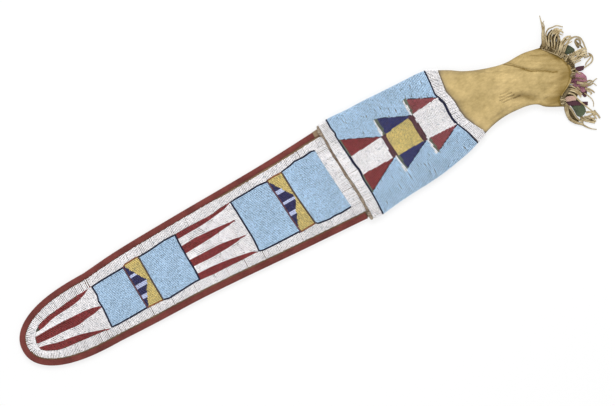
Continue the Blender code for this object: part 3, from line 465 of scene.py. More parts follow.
def glass(name, colour, spread=0.14, warm=0.0, shine=0.5):
    """Opaque bead glass: glossy, each bead a little lighter or darker, a few much darker, and faded in patches."""
    material, tree, place = new_material(name)
    tint = node_of(tree, "ShaderNodeAttribute", attribute_name="tint").outputs["Fac"]
    tones = node_of(tree, "ShaderNodeValToRGB", Fac=tint)
    ramp = tones.color_ramp.elements
    ramp.new(0.05)
    for stop, at, share in zip(ramp, (0.0, 0.05, 1.0), (0.60, 1 - spread, 1 + spread * 0.7)):
        warmth = warm * (share - 1)
        stop.position = at
        stop.color = (*(min(c * share + warmth * side, 0.95) for c, side in zip(colour, (1, 0, -1))), 1)
    age = node_of(tree, "ShaderNodeTexNoise", Vector=place, Scale=38.0, Detail=4.0)
    faded = ranged(tree, age, 0.3, 0.7, 0.90, 1.05)
    dress(
        material, Base_Color=node_of(tree, "ShaderNodeVectorMath", tones, faded, operation="MULTIPLY"),
        Roughness=ranged(tree, age, 0.0, 1.0, 0.22, 0.48), Specular_IOR_Level=shine,
    )
    return material


bead = bead_of("bead", ((-0.5, 0.89), (0.0, 1.0), (0.5, 0.89)))
plain_bead = bead_of("plain_bead", ((-0.47, 0.92), (0.47, 0.92)))
bead_tree = stringing()
sockets = {item.name: item.identifier for item in bead_tree.interface.items_tree if item.in_out == "INPUT"}
glasses = {name: glass(f"{name}_glass", *looks) for name, *looks in (
    ("white", (0.865, 0.845, 0.855), 0.11, 0.10),
    ("blue", (0.440, 0.606, 0.782), 0.17, 0.05),
    ("red", (0.238, 0.033, 0.034), 0.24),
    ("bright_red", (0.250, 0.041, 0.044), 0.24),
    ("faded_red", (0.290, 0.072, 0.080), 0.20),
    ("navy", (0.032, 0.031, 0.112), 0.30),
    ("indigo", (0.038, 0.041, 0.148), 0.30),
    ("line", (0.015, 0.017, 0.042), 0.30, 0.0, 0.2),
    ("gold", (0.640, 0.512, 0.194), 0.20, 0.08),
    ("maroon", (0.114, 0.044, 0.057), 0.20),
    ("brown", (0.270, 0.105, 0.035), 0.20),
    ("umber", (0.080, 0.052, 0.040), 0.20),
    ("pale", (0.560, 0.620, 0.850), 0.08),
    ("green", (0.150, 0.175, 0.125), 0.16),
    ("olive", (0.070, 0.070, 0.050), 0.16),
)}
threads = {}


def string_on(field, place, along, up):
    """Puts one bead of a field at a place on its thread."""
    threads.setdefault(field, []).append((place, along, up))


def sew_down(field, colour, *nodes, shape=bead, seed=1, wide=1.0):
    """Makes the beads of a field, as one piece."""
    places = threads.pop(field)
    mesh = bpy.data.meshes.new(field)
    mesh.from_pydata([p for p, _, _ in places], [], [])
    for k, name in ((1, "along"), (2, "up")):
        layer = mesh.attributes.new(name, "FLOAT_VECTOR", "POINT")
        layer.data.foreach_set("vector", [c for row in places for c in row[k]])
    piece = bpy.data.objects.new("beads_" + field, mesh)
    scene.collection.objects.link(piece)
    strung = piece.modifiers.new("stringing", "NODES")
    strung.node_group = bead_tree
    strung[sockets["Bead"]] = shape
    strung[sockets["Bead Size"]] = (BEAD_LENGTH, BEAD_WIDTH * wide, BEAD_HEIGHT)
    strung[sockets["Unevenness"]] = UNEVENNESS
    strung[sockets["Seed"]] = seed
    strung[sockets["Glass"]] = glasses[colour]
    graph = bpy.context.evaluated_depsgraph_get()
    made = bpy.data.meshes.new_from_object(piece.evaluated_get(graph), preserve_all_data_layers=True, depsgraph=graph)
    piece.modifiers.clear()
    piece.data = made
    for name in ("along", "up"):
        layer = made.attributes.get(name)
        if layer:
            made.attributes.remove(layer)
    stand_in(piece, *nodes)


def sew_all(colours, seed, widths):
    """Makes every field. Colours go by a field's name or its beginning, and widths by its name or colour."""
    for number, field in enumerate(list(threads)):
        colour = colours.get(field) or next(c for n, c in colours.items() if field.startswith(n))
        node = "blue_wrap" if field in ("blue_front", "blue_back") else field
        sew_down(
            field, colour, *([node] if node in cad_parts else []), seed=seed + number,
            shape=plain_bead if field == "blue_back" else bead, wide=widths.get(field, widths.get(colour, 1.0)),
        )


def follow(line, at):
    """The value of a line of straight pieces, given as pairs, at a place."""
    if at <= line[0][0]:
        return line[0][1]
    for (start, low), (end, high) in zip(line, line[1:]):
        if at <= end:
            return low + (high - low) * (at - start) / (end - start)
    return line[-1][1]


def on_case(x, y, lift=0.0):
    """Place, and direction away from the hide, of a bead at a plan point in millimetres."""
    x, y = x / 1000, y / 1000
    step = 0.001
    here = case_top(x, y, GAP + lift)
    ahead, beside = case_top(x + step, y, GAP + lift), case_top(x, y + step, GAP + lift)
    return here, (ahead - here).cross(beside - here).normalized()


# The border lane runs round the case inside the wool. Its short rows lie across the lane, and each row arches a
# little, because it is sewn down only at its two ends. Some rows have drawn apart and show the hide.
BARE_LINE = 0.0008
BARE_WIDER = 0.0013
LANE_START = -0.0008
UPPER_LANE_START = -3.4
BANDS = 0.0229
UPPER_EDGE = (
    (-393, 36.9), (-376, 38.7), (-362, 39.2), (-338, 39.9), (-333, 42.6), (-316, 43.4), (-310, 42.3), (-292, 43.1),
    (-281, 44.3), (-270, 45.3), (-260, 45.2), (-250, 44.6), (-229, 44.8), (-202, 43.9), (-190, 44.1), (-179, 46.1),
    (-165, 46.4), (-155, 47.6), (-132, 48.0), (-117, 49.0), (-103, 47.4), (-102, 48.5), (-92, 49.3), (-78, 48.9),
    (-77, 49.5), (-63, 51.6), (-56, 53.6), (-41, 53.0), (-28, 54.5), (-23, 53.0), (0, 53.5),
)
LOWER_EDGE = (
    (-396, -25.5), (-392, -26.6), (-382, -27.6), (-352, -27.3), (-337, -26.9), (-309, -28.2), (-302, -30.3),
    (-282, -29.2), (-262, -27.9), (-249, -28.1), (-232, -30.0), (-212, -30.6), (-192, -31.7), (-168, -32.2),
    (-160, -33.0), (-154, -35.3), (-138, -36.1), (-122, -36.7), (-98, -37.1), (-96, -38.5), (-81, -37.9),
    (-70, -37.5), (-69, -39.7), (-52, -42.3), (-41, -41.6), (-33, -42.8), (-16, -41.6), (0, -42.0),
)
TIP_START = (
    (-26.8, -399), (-25.5, -403), (-24.5, -413), (-22.6, -432), (-21.2, -446), (-19.8, -462), (-17.9, -472),
    (-14.0, -481), (-9.8, -489), (-5.5, -494), (0, -495), (5.5, -495), (12.6, -493), (18.3, -489), (21.7, -486),
    (26.4, -479), (29.0, -470), (31.2, -460), (32.1, -451), (33.1, -441), (34.3, -432), (35.3, -422), (36.1, -413),
    (36.2, -403), (36.9, -393),
)
chance = random.Random(7)


def lay_row(field, start, end):
    """One short row of beads between two plan points in millimetres, a little arched."""
    count = max(1, round((end - start).length / (BEAD_LENGTH * 1000)))
    spots = [start.lerp(end, (k + 0.5) / count) for k in range(count)]
    for k, spot in enumerate(spots):
        lift = LANE_HUMP * math.sin(math.pi * (k + 0.5) / count)
        place, up = on_case(spot.x, spot.y, lift)
        beyond, _ = on_case(*(spot + (end - start).normalized()), lift)
        string_on(field, place, (beyond - place).normalized(), up)


def border_rows():
    """Short rows from the wool inward, one after another all round the rim."""
    walk, reach, due = rim_walk(0.0, LANE_START), 0.0, 0.0
    for before, after in zip(walk, walk[1:]):
        bare = BARE_LINE + BARE_WIDER * bare_share(after(EDGING))
        outer, inner = after(EDGING + bare) * 1000, after(BANDS) * 1000
        if outer.x > SHOULDER * 1000 and inner.x > SHOULDER * 1000:
            edge = UPPER_EDGE if outer.y > 0 else LOWER_EDGE
            inner.y = follow(edge, inner.x) + math.copysign(0.4, outer.y)
        else:
            inward = (inner - outer).normalized()
            inner = outer + 8 * inward
            while inner.x < follow(TIP_START, inner.y) or not TIP_START[0][0] < inner.y < TIP_START[-1][0]:
                inner += 0.1 * inward
            inner -= 0.3 * inward
        reach += (after(0.016) - before(0.016)).length * 1000
        if reach < due or (outer.y > 0 and outer.x > UPPER_LANE_START):
            continue
        slit = chance.choice((0.15, 0.25, 0.4)) * (chance.random() < 0.08)
        due = reach + PITCH + slit + chance.uniform(-0.12, 0.12)
        ragged = Vector((0, chance.uniform(-0.3, 0.3)))
        lay_row("border_lane", outer + ragged, inner)


border_rows()
sew_down("border_lane", "white", "border_lane", seed=2)


# The beadwork of the case between the lanes is sewn in rows along it. From the tip to the seam it is tongues of
# red in white, then blue blocks lined in navy, with two gold bars and four long tongues between them.
TIP_RED = (
    ((-479, 19.3), (-472, 20.7), (-462, 23.6), (-453, 25.2), (-441, 26.1), (-432, 26.4), (-422, 27.4), (-413, 29.3),
     (-403, 32.6), (-395.6, 36.0), (-394, 38)),
    ((-493, 12.4), (-491, 13.6), (-470, 14.0), (-446, 14.0), (-432, 13.1), (-413, 12.3), (-403, 10.7), (-392, 7.9)),
    ((-495, 5.5), (-493, 4.0), (-482, 2.6), (-470, 1.7), (-451, 1.2), (-437, -0.7), (-428, -0.7), (-418, 1.2),
     (-403, 2.6), (-392, 5.0)),
    ((-494, -1.7), (-489, -2.6), (-479, -5.0), (-470, -7.9), (-460, -9.8), (-451, -10.7), (-438, -13.1),
     (-432, -14.5), (-422, -17.4), (-413, -20.2), (-403, -23.6), (-396, -26.0), (-390, -28)),
)
LONG_RED = (
    ((-249, 36.9), (-222, 37.2), (-202, 38.3), (-184, 40.6), (-173, 42.2), (-163, 46)),
    ((-249, 25.8), (-229, 26.7), (-212, 25.6), (-195, 24.4), (-182, 23.0), (-165.6, 21.6)),
    ((-249, 14.1), (-225, 15.0), (-209, 15.9), (-192, 17.8), (-178, 18.9), (-165.6, 21.2)),
    ((-249, 3.0), (-229, 2.6), (-204, 2.2), (-191, 0.3), (-178, -1.7), (-165.6, -4.2)),
    ((-249, -7.4), (-218, -8.6), (-195, -7.8), (-178, -6.3), (-165.6, -4.6)),
    ((-249, -18.9), (-229, -19.7), (-212, -21.4), (-192, -24.4), (-179, -26.7), (-168, -28.9), (-161, -33)),
)
BLOCK_4_START = ((-26.5, -392.6), (-17.6, -392.0), (2, -390.4), (15, -391.3), (22, -389.0), (36.8, -390.0))
FAR_BAR_START = ((-27.1, -335.7), (39.7, -338.3))
BLOCK_3_START = ((-27.6, -308.8), (41.3, -310.4))
LONG_START = ((-27.6, -250.4), (-12.4, -249.4), (1.3, -250.4), (26.6, -250.9), (43.9, -250.4))
BLOCK_2_START = ((-32.8, -160.5), (-12.8, -159.2), (7.2, -160.3), (29.4, -161.4), (46.1, -162.6))
NEAR_BAR_START = ((-36.7, -96.4), (-14.7, -98.7), (8.6, -99.9), (31.9, -102.2), (46, -103.2))
BLOCK_1_START = ((-36.7, -70.3), (-26.3, -71.4), (-0.7, -74.3), (20.2, -76.1), (48.1, -77.2))
END_START = ((-41.4, -16.2), (-14.7, -18.5), (8.6, -20.3), (31.9, -22.0), (53, -22.8))
FAR_POINTS = (
    (-26.6, -333.0), (-13.9, -327.8), (-7.9, -325.2), (2.4, -319.4), (9.2, -315.4), (19.7, -323.6), (26.6, -327.8),
    (39, -334.6),
)
NEAR_POINTS = (
    (-32, -95.8), (-21.6, -91.8), (-12.3, -87.7), (-6.5, -86.5), (6.3, -79.0), (10.9, -78.9), (12.7, -79.0),
    (23.7, -87.7), (29.5, -90.6), (46, -102.0),
)
FAR_STRIPES = ((20.3, 25.0), (2.4, 8.2), (-13.9, -8.2))
NEAR_STRIPES = ((23.1, 29.0), (5.7, 10.9), (-12.3, -6.5))
END_SLITS = (-17.2, 47.6)
LINE = 2.4
SWAY = 0.16
TIP_ROWS = 33
TIP_LOWEST = -27.0
POINT_START = -488
POINT_END = -483
TIP_TONGUES_END = -391
LONG_TONGUES_END = -165.6
WELT_MIDDLE = (
    (-75, 0.9), (-60, 0.7), (-50, 1.2), (-40, 1.55), (-30, 1.3), (-20, 0.45), (-8, -0.3), (0, -1.4), (12, -1.7),
    (20, -2.15), (30, -2.9), (40, -3.4), (55, -3.0), (64, -3.6), (69, -4.6), (74, -4.4), (82, -2.9),
)
WELT_HALF = (
    (-72, 1.8), (-66, 2.4), (-60, 2.6), (-50, 1.9), (-40, 2.2), (-28, 1.8), (-20, 2.2), (-8, 1.7), (0, 2.2),
    (12, 1.8), (20, 1.4), (32, 1.9), (40, 1.5), (52, 1.8), (60, 1.5), (64, 1.9), (69, 3.0), (74, 2.7), (80, 1.4),
    (84, 0.9),
)


def row_marks(edges, x, row_of):
    """Where the edges of the tongues cross the rows at a place along the case, as numbers of rows."""
    return [row_of(follow(edge, x)) for edge in edges if edge[0][0] - 3 < x < edge[-1][0] or edge[-1][0] > -164]


def pulled(row, marks):
    """How far a row leaves its own line to run along the edges of the tongues near it, as a share of a row."""
    pull, weights = 0.0, 0.0
    for mark in marks:
        weight = max(1 - (abs(row + 0.5 - round(mark)) - 0.5) / 3, 0.0) ** 2
        pull += weight * (mark - round(mark))
        weights += weight
    return pull / max(weights, 1.0)


def tip_field(x, row, row_of):
    """The field of a bead in the tip."""
    upper, top, bottom, lower = (round(row_of(follow(edge, x))) for edge in TIP_RED)
    if x > POINT_START and row >= upper:
        return "tip_tongue_1" if x > POINT_END else "tongue_point"
    if row < lower:
        return "tip_tongue_3"
    if bottom <= row < top and x < TIP_TONGUES_END:
        return "tip_tongue_2"
    return "tip_ground_1" if row > (top + bottom) / 2 else "tip_ground_2"


def long_field(x, row, row_of):
    """The field of a bead among the long tongues."""
    edges = [round(row_of(follow(edge, x))) for edge in LONG_RED]
    if row >= edges[0]:
        return "long_tongue_1"
    if x < LONG_TONGUES_END and edges[2] <= row < edges[1]:
        return "long_tongue_2"
    if x < LONG_TONGUES_END and edges[4] <= row < edges[3]:
        return "long_tongue_3"
    return "long_tongue_4" if row < edges[5] else "long_tongue_ground"


def block_field(number):
    """Fields of a blue block: its first and last rows are navy."""
    def field(x, y, first, last):
        if first or last:
            return f"navy_outline_{number}" + ("" if number > 1 else "_lower" if first else "_upper")
        return f"blue_block_{number}"
    return field


def bar_field(name, points, stripes):
    """Fields of a gold bar: brown rows above and below, and half a navy diamond cut by pale stripes."""
    def field(x, y, first, last):
        if first or last:
            return f"{name}_bar_frame"
        if x > follow(points, y):
            return f"{name}_bar_gold"
        return "bar_stripes" if any(low < y < high for low, high in stripes) else f"{name}_bar_navy"
    return field


def cross_row(name, line, side):
    """One row of beads across the case, along one side of a line."""
    y = follow(LOWER_EDGE, line[0][1]) + 0.5
    while y < follow(UPPER_EDGE, line[-1][1]) - 0.2:
        x, beyond = (follow(line, at) + side * LINE / 2 for at in (y, y + 1))
        place, up = on_case(x, y)
        string_on(name, place, (on_case(beyond, y + 1)[0] - place).normalized(), up)
        y += BEAD_LENGTH * 1000


def long_rows(start, end, rows, field, sway, edges=(), first_line=None, last_line=None):
    """Rows along the case between two lines across it, as shares of the way from its lower to its upper lane."""
    if first_line:
        cross_row(first_line, start, 1)
        start = [(y, x + LINE) for y, x in start]
    if last_line:
        cross_row(last_line, end, -1)
        end = [(y, x - LINE) for y, x in end]

    def span_at(x):
        return follow(LOWER_EDGE, x) - 0.2, follow(UPPER_EDGE, x) + 0.2

    def row_at(x):
        low, high = span_at(x)
        return lambda y: (y - low) / (high - low) * rows

    def y_at(x, k):
        low, high = span_at(x)
        row = k + 0.5 + pulled(k, row_marks(edges, x, row_at(x)))
        return low + (high - low) * row / rows + SWAY * noise.noise(Vector((x * 0.06, k * 0.37, sway)))

    for k in range(rows):
        begin, stop = follow(start, y_at(start[0][1], k)), follow(end, y_at(end[0][1], k))
        count = round((stop - begin) / (BEAD_LENGTH * 1000))
        for i in range(count):
            x = begin + (stop - begin) * (i + 0.5) / count
            y = y_at(x, k)
            place, up = on_case(x, y)
            ahead, _ = on_case(x + 0.5, (y + y_at(x + 1, k)) / 2)
            name = field(x, k, row_at(x)) if edges else field(x, y, k == 0, k == rows - 1)
            string_on(name, place, (ahead - place).normalized(), up)


def tip_rows():
    """Rows along the tip, from the border lane to the first blue block."""

    def row_of(y):
        return (y - TIP_LOWEST) / PITCH

    for k in range(TIP_ROWS):
        middle = TIP_LOWEST + (k + 0.5) * PITCH
        begin = follow(TIP_START, middle) + 0.3
        stop = follow(BLOCK_4_START, middle)
        count = round((stop - begin) / (BEAD_LENGTH * 1000))
        for i in range(max(count, 0)):
            x = begin + (stop - begin) * (i + 0.5) / count
            y = middle + PITCH * pulled(k, row_marks(TIP_RED, x, row_of))
            y += SWAY * noise.noise(Vector((x * 0.06, k * 0.4, 3.0)))
            place, up = on_case(x, y)
            string_on(tip_field(x, k, row_of), place, Vector((1, 0, 0)), up)


def end_rows():
    """Short rows of the white lane at the seam, one after another from its lower end."""
    y = follow(LOWER_EDGE, -10) + 0.9
    while y < follow(UPPER_EDGE, -10) - 0.5:
        begin = follow(END_START, y) + 0.1
        stop = follow(WELT_MIDDLE, y) - follow(WELT_HALF, y) - 0.2
        lay_row("end_lane", Vector((begin, y)), Vector((stop, y + chance.uniform(-0.3, 0.3))))
        slit = 0.6 * any(y < place <= y + PITCH for place in END_SLITS)
        y += PITCH + slit + chance.uniform(-0.05, 0.05)


tip_rows()
long_rows(BLOCK_4_START, FAR_BAR_START, 33, block_field(4), 0.5, first_line="navy_outline_4")
long_rows(
    FAR_BAR_START, BLOCK_3_START, 35, bar_field("far", FAR_POINTS, FAR_STRIPES), 1.5, (), "bar_line", "bar_end"
)
long_rows(BLOCK_3_START, LONG_START, 36, block_field(3), 2.5, last_line="navy_outline_3")
long_rows(LONG_START, BLOCK_2_START, 38, long_field, 3.5, LONG_RED)
long_rows(BLOCK_2_START, NEAR_BAR_START, 41, block_field(2), 4.5, first_line="navy_outline_2")
long_rows(
    NEAR_BAR_START, BLOCK_1_START, 43, bar_field("near", NEAR_POINTS, NEAR_STRIPES), 5.5, (), "bar_line", "bar_end"
)
long_rows(BLOCK_1_START, END_START, 47, block_field(1), 6.5)
end_rows()
case_colours = {
    "tip_tongue": "red", "tip_ground": "white", "long_tongue": "red", "blue_block": "blue", "navy_outline": "line",
    "far_bar_frame": "brown", "far_bar_navy": "navy", "far_bar_gold": "gold", "near_bar_frame": "brown",
    "near_bar_navy": "navy", "near_bar_gold": "gold", "end_lane": "white", "long_tongue_ground": "white",
    "bar_line": "maroon", "bar_end": "umber", "bar_stripes": "pale", "tongue_point": "olive",
}
sew_all(case_colours, 10, {"line": 1.4, "brown": 1.4, "maroon": 1.4, "umber": 1.4})


# A welt of brown hide stands in the seam between case and pouch and runs all round it. It is rolled, and the
# thread that whips it shows as slanting ridges.
BEADS = 0.0018
WELT_SECTION = ((-1, 0.0), (-0.9, 0.45), (-0.45, 0.9), (0.1, 1.0), (0.6, 0.8), (0.95, 0.4), (1, 0.0), (0, -0.6))
WELT_STEPS = 240
THREAD_PITCH = 4.6
STAINED = (4, 60)
POUCH_PLACES = (0.0, 0.0160, 0.04385, 0.0691, 0.0959, 0.1227, 0.1647, 0.1813)
POUCH_UPPER_SIDE = (0.0799, 0.0815, 0.0798, 0.0795, 0.0782, 0.0770, 0.0746, 0.0680)
POUCH_LOWER_SIDE = (-0.0699, -0.0707, -0.0674, -0.0653, -0.0638, -0.0612, -0.0532, -0.0481)
NECK_START = 0.1980
NECK_LENGTH = 0.1276
NECK_UPPER_SIDE = (0.0590, 0.0505, 0.0442, 0.0392, 0.0351, 0.0318, 0.0302, 0.0306, 0.0302, 0.0277, 0.0250)
NECK_LOWER_SIDE = (-0.0425, -0.0382, -0.0356, -0.0348, -0.0356, -0.0372, -0.0405, -0.0452, -0.0515, -0.0575, -0.0630)
ALL_PLACES = POUCH_PLACES + tuple(NECK_START + NECK_LENGTH * k / 10 for k in range(11))
UPPER_SIDE = POUCH_UPPER_SIDE + NECK_UPPER_SIDE
LOWER_SIDE = POUCH_LOWER_SIDE + NECK_LOWER_SIDE
POUCH_HEIGHT = 0.0092
NECK_HEIGHT = 0.0150
NECK_SETTLE = 0.0300
POUCH_FLOOR = BEADS + GAP
POUCH_ROUND = 2.4
POUCH_FLAT = 10
POUCH_SAG = 1.04
FOLD_FADE = 0.0120
MOUTH_EDGE = (
    (-0.0630, -0.0131), (-0.0490, -0.0090), (-0.0383, 0.0095), (-0.0288, 0.0187), (-0.0170, 0.0226),
    (0.0033, 0.0167), (0.0176, 0.0060), (0.0250, 0.0),
)
# Creases of the neck: each is a path measured from the neck's start, its depth, and half its width
NECK_FOLDS = (
    (((0.070, 0.033), (0.081, 0.021), (0.090, 0.011), (0.099, 0.002)), 0.0011, 0.0034),
    (((0.099, 0.002), (0.109, -0.003), (0.120, -0.009), (0.131, -0.016)), 0.0009, 0.0030),
    (((0.060, -0.017), (0.072, -0.022), (0.080, -0.028), (0.086, -0.036)), 0.0032, 0.0050),
    (((0.034, -0.004), (0.048, -0.008), (0.064, -0.010)), 0.0012, 0.0060),
    (((0.108, 0.016), (0.124, 0.009), (0.140, 0.001)), 0.0007, 0.0045),
    (((0.104, -0.030), (0.118, -0.030), (0.134, -0.028)), 0.0018, 0.0050),
    (((0.098, -0.044), (0.108, -0.047), (0.116, -0.050)), 0.0016, 0.0045),
    (((0.052, -0.026), (0.060, -0.030), (0.066, -0.036)), -0.0014, 0.0050),
    (((0.010, 0.036), (0.032, 0.022), (0.056, 0.014)), -0.0006, 0.0100),
    (((0.010, -0.020), (0.032, -0.020), (0.052, -0.018)), -0.0012, 0.0090),
)
# Short wrinkles and pleats too fine for the solids, in the same form
FINE_FOLDS = (
    (((0.044, -0.0052), (0.051, -0.0060), (0.058, -0.0052)), 0.0010, 0.0009),
    (((0.041, -0.0088), (0.050, -0.0098), (0.059, -0.0104)), 0.0014, 0.0009),
    (((0.039, -0.0124), (0.050, -0.0134), (0.061, -0.0148)), 0.0016, 0.0010),
    (((0.042, -0.0168), (0.052, -0.0172), (0.060, -0.0190), (0.068, -0.0198)), 0.0014, 0.0010),
    (((0.026, -0.028), (0.040, -0.026), (0.056, -0.021)), 0.0006, 0.0016),
    (((0.074, 0.0300), (0.084, 0.0185), (0.093, 0.0085)), 0.0012, 0.0009),
    (((0.093, 0.0085), (0.108, -0.0015), (0.122, -0.0105), (0.131, -0.0155)), 0.0012, 0.0009),
    (((0.050, 0.0240), (0.062, 0.0190), (0.074, 0.0120)), 0.0006, 0.0018),
    (((0.104, 0.0230), (0.118, 0.0165), (0.132, 0.0110)), 0.0011, 0.0011),
    (((0.110, 0.0100), (0.124, 0.0050), (0.138, 0.0010)), 0.0007, 0.0014),
    (((0.118, -0.020), (0.130, -0.0215), (0.141, -0.021)), 0.0008, 0.0014),
    (((0.112, -0.036), (0.124, -0.034), (0.136, -0.033)), 0.0008, 0.0014),
    (((0.096, -0.041), (0.108, -0.040), (0.122, -0.0375)), 0.0008, 0.0016),
    (((0.092, -0.050), (0.102, -0.052), (0.112, -0.0535)), 0.0008, 0.0014),
)


# Painted shade on the neck, along its creases, in the valley beside them and at the mouth: in the same form, with
# how dark it is for the depth
PLEAT_SHADES = ((0.26, 0.0007), (0.38, 0.0008), (0.46, 0.0008), (0.44, 0.0008))
SHADES = (
    (((0.0696, 0.0294), (0.0806, 0.0206), (0.0894, 0.0110), (0.0968, 0.0029), (0.107, -0.0022), (0.116, -0.0074),
      (0.123, -0.0132), (0.129, -0.0160)), 0.95, 0.0009),
    (((0.061, -0.0185), (0.070, -0.0215), (0.077, -0.0265), (0.081, -0.0320)), 0.34, 0.0042),
    (((0.066, -0.0195), (0.073, -0.0235), (0.078, -0.0285)), 0.22, 0.0020),
    *((path, dark, half) for (path, _, _), (dark, half) in zip(FINE_FOLDS, PLEAT_SHADES)),
    (((0.016, -0.0290), (0.034, -0.0280), (0.055, -0.0255)), 0.22, 0.0015),
    (((0.046, 0.0060), (0.060, 0.0030), (0.072, -0.0020)), 0.10, 0.0040),
    (((0.030, 0.0400), (0.044, 0.0300), (0.058, 0.0240), (0.070, 0.0195), (0.086, 0.0115)), 0.26, 0.0010),
    (((0.054, 0.0270), (0.064, 0.0200), (0.078, 0.0130), (0.088, 0.0095)), 0.22, 0.0009),
    (((0.086, 0.0115), (0.094, 0.0050), (0.104, 0.0020), (0.118, -0.0040)), 0.26, 0.0009),
    (((0.108, 0.0225), (0.118, 0.0155), (0.128, 0.0105)), 0.36, 0.0010),
    (((0.133, 0.0110), (0.137, 0.0030), (0.139, -0.0030)), 0.30, 0.0028),
    (((0.100, -0.0450), (0.114, -0.0480), (0.122, -0.0420)), 0.30, 0.0060),
    (((0.112, -0.0250), (0.130, -0.0270), (0.142, -0.0260)), 0.20, 0.0040),
    (((0.012, -0.0380), (0.024, -0.0355), (0.036, -0.0345)), 0.12, 0.0030),
)


def wave_at(wave, place):
    """The value of a smooth wave, given as pairs, at a place."""
    return curve_through([p for p, _ in wave], [v for _, v in wave], place)


def bell(offset, width):
    """One at an offset of nought, and less with every step away from it."""
    return math.exp(-((offset / width) ** 2))


def dents(folds, x, y):
    """How deep a set of folds goes at a plan point of the neck."""
    depth = 0.0
    for path, deep, half in folds:
        near = 1.0
        for (ax, ay), (bx, by) in zip(path, path[1:]):
            ax, bx = ax + NECK_START, bx + NECK_START
            length = (bx - ax) ** 2 + (by - ay) ** 2
            share = clamped(((x - ax) * (bx - ax) + (y - ay) * (by - ay)) / length)
            near = min(near, math.hypot(x - ax - share * (bx - ax), y - ay - share * (by - ay)))
        if near < 3 * half:
            depth += deep * bell(near, half)
    return depth * clamped((x - NECK_START) / FOLD_FADE)


def pouch_section(distance):
    """The middle, half width, floor and height of the pouch at a distance from the seam."""
    upper, lower = curve_through(ALL_PLACES, UPPER_SIDE, distance), curve_through(ALL_PLACES, LOWER_SIDE, distance)
    bare = clamped((distance - NECK_START) / NECK_SETTLE)
    height = POUCH_HEIGHT + bare * (NECK_HEIGHT - POUCH_HEIGHT)
    return (upper + lower) / 2, (upper - lower) / 2, POUCH_FLOOR * (1 - bare), height


def pouch_point(distance, turn, lift, fine=False):
    """A point above the pouch's hide: turn is 0 on the lower side, a quarter on the front, a half on the upper."""
    middle, half, floor, height = pouch_section(distance)
    side = floor + height / 2
    y = middle - (half + lift) * power(math.cos(turn), 2 / POUCH_ROUND)
    x = distance
    if distance > NECK_START:
        x = NECK_START + (distance - NECK_START) / NECK_LENGTH * (NECK_LENGTH + wave_at(MOUTH_EDGE, y))
    up = math.sin(turn)
    if up < 0:
        deep = (height / 2 * POUCH_SAG + lift) * abs(up) ** (2 / POUCH_FLAT)
        return Vector((x, y, max(side - deep, floor - lift)))
    z = side + (height / 2 + lift) * up ** (2 / POUCH_ROUND)
    if distance > NECK_START:
        z -= min(2 * up, 1.0) * (dents(NECK_FOLDS, x, y) + (dents(FINE_FOLDS, x, y) if fine else 0.0))
    return Vector((x, y, z))


def make_welt():
    """The rolled welt, as a closed ring of sections, with its stains and the dashes of its thread."""
    mesh, rings = bmesh.new(), []
    for k in range(WELT_STEPS):
        turn = 2 * math.pi * k / WELT_STEPS
        flat = pouch_point(0.0, turn, 0.0).y * 1000
        middle, half = follow(WELT_MIDDLE, flat), follow(WELT_HALF, flat)
        rough = 1 + 0.30 * noise.noise(Vector((flat * 0.25, turn, 0.0)))
        points = [(across, pouch_point(0.0, turn, BEADS * 0.8 * height * rough)) for across, height in WELT_SECTION]
        rings.append([
            mesh.verts.new(((middle + half * across) / 1000, p.y, max(p.z, 0.0001))) for across, p in points
        ])
    skin(mesh, rings, ends=False, closed=True)
    layer = mesh.verts.layers.float.new("grime_and_shade")
    for vert in mesh.verts:
        up = vert.co.y * 1000
        stained = 0.34 / (1 + math.exp(-(up - STAINED[0]) / 3)) / (1 + math.exp((up - STAINED[1]) / 4))
        dash = max(math.sin(2 * math.pi * up / THREAD_PITCH + 1.5 * noise.noise(Vector((up * 0.2, 0, 0)))), 0.0) ** 3
        vert[layer] = min(stained + 0.35 * dash * (vert.co.z > 0.009), 0.9)
    return mesh


welt_suede = suede("welt_suede", (0.430, 0.350, 0.262), (0.110, 0.080, 0.053), (0.090, 0.042, 0.028), 150.0)
tree = welt_suede.node_tree
place = node_of(tree, "ShaderNodeTexCoord").outputs["Object"]
slant = node_of(tree, "ShaderNodeMapping", Vector=place, Rotation=(0, 0, math.radians(35)))
ridges = node_of(tree, "ShaderNodeTexWave", Vector=slant, Scale=105.0, Distortion=1.5, bands_direction="Y")
twist = node_of(
    tree, "ShaderNodeBump", Strength=0.9, Distance=0.0012, Height=ridges.outputs["Fac"], Normal=tree.nodes["Bump"]
)
dress(welt_suede, Normal=twist)
finished(make_welt(), "rolled_welt", welt_suede, "seam_welt")


# The pouch is one tube of smoke-tanned hide, flattened. Its neck is bare, tan and creased where it was folded
# and tied, darker along the beads, and grimy at the mouth. Its creases, its sides and the hide under the beads are
# darkened with painted shade.
NECK_EDGE = (
    (-43.1, 197.5), (-24.9, 189.4), (-10, 183.3), (2.2, 181.2), (18.4, 181.2), (35.9, 177.2), (56.2, 179.9),
    (69.7, 181.9),
)
BARE_FROM = 0.170
CREASES_RUN = (0.875, 0.485)
BEAD_EDGE_BAND = 0.0055
DARK_LINE_WIDTH = 0.0012
MOUTH_DIRT = 0.026
FINE_DEPTH = 0.0016
FOLD_DEPTH = 0.0045
HANDLED_FROM = 0.225
SPOT = (0.2880, 0.011)
SPOT_SIZE = 0.0015


def drawn(x, y, step, seed):
    """A noise in streaks along the creases, which run 29 degrees down from the neck's length."""
    c, s = CREASES_RUN
    return noise.noise(Vector(((c * x - s * y) * 40, (s * x + c * y) * step, seed)))


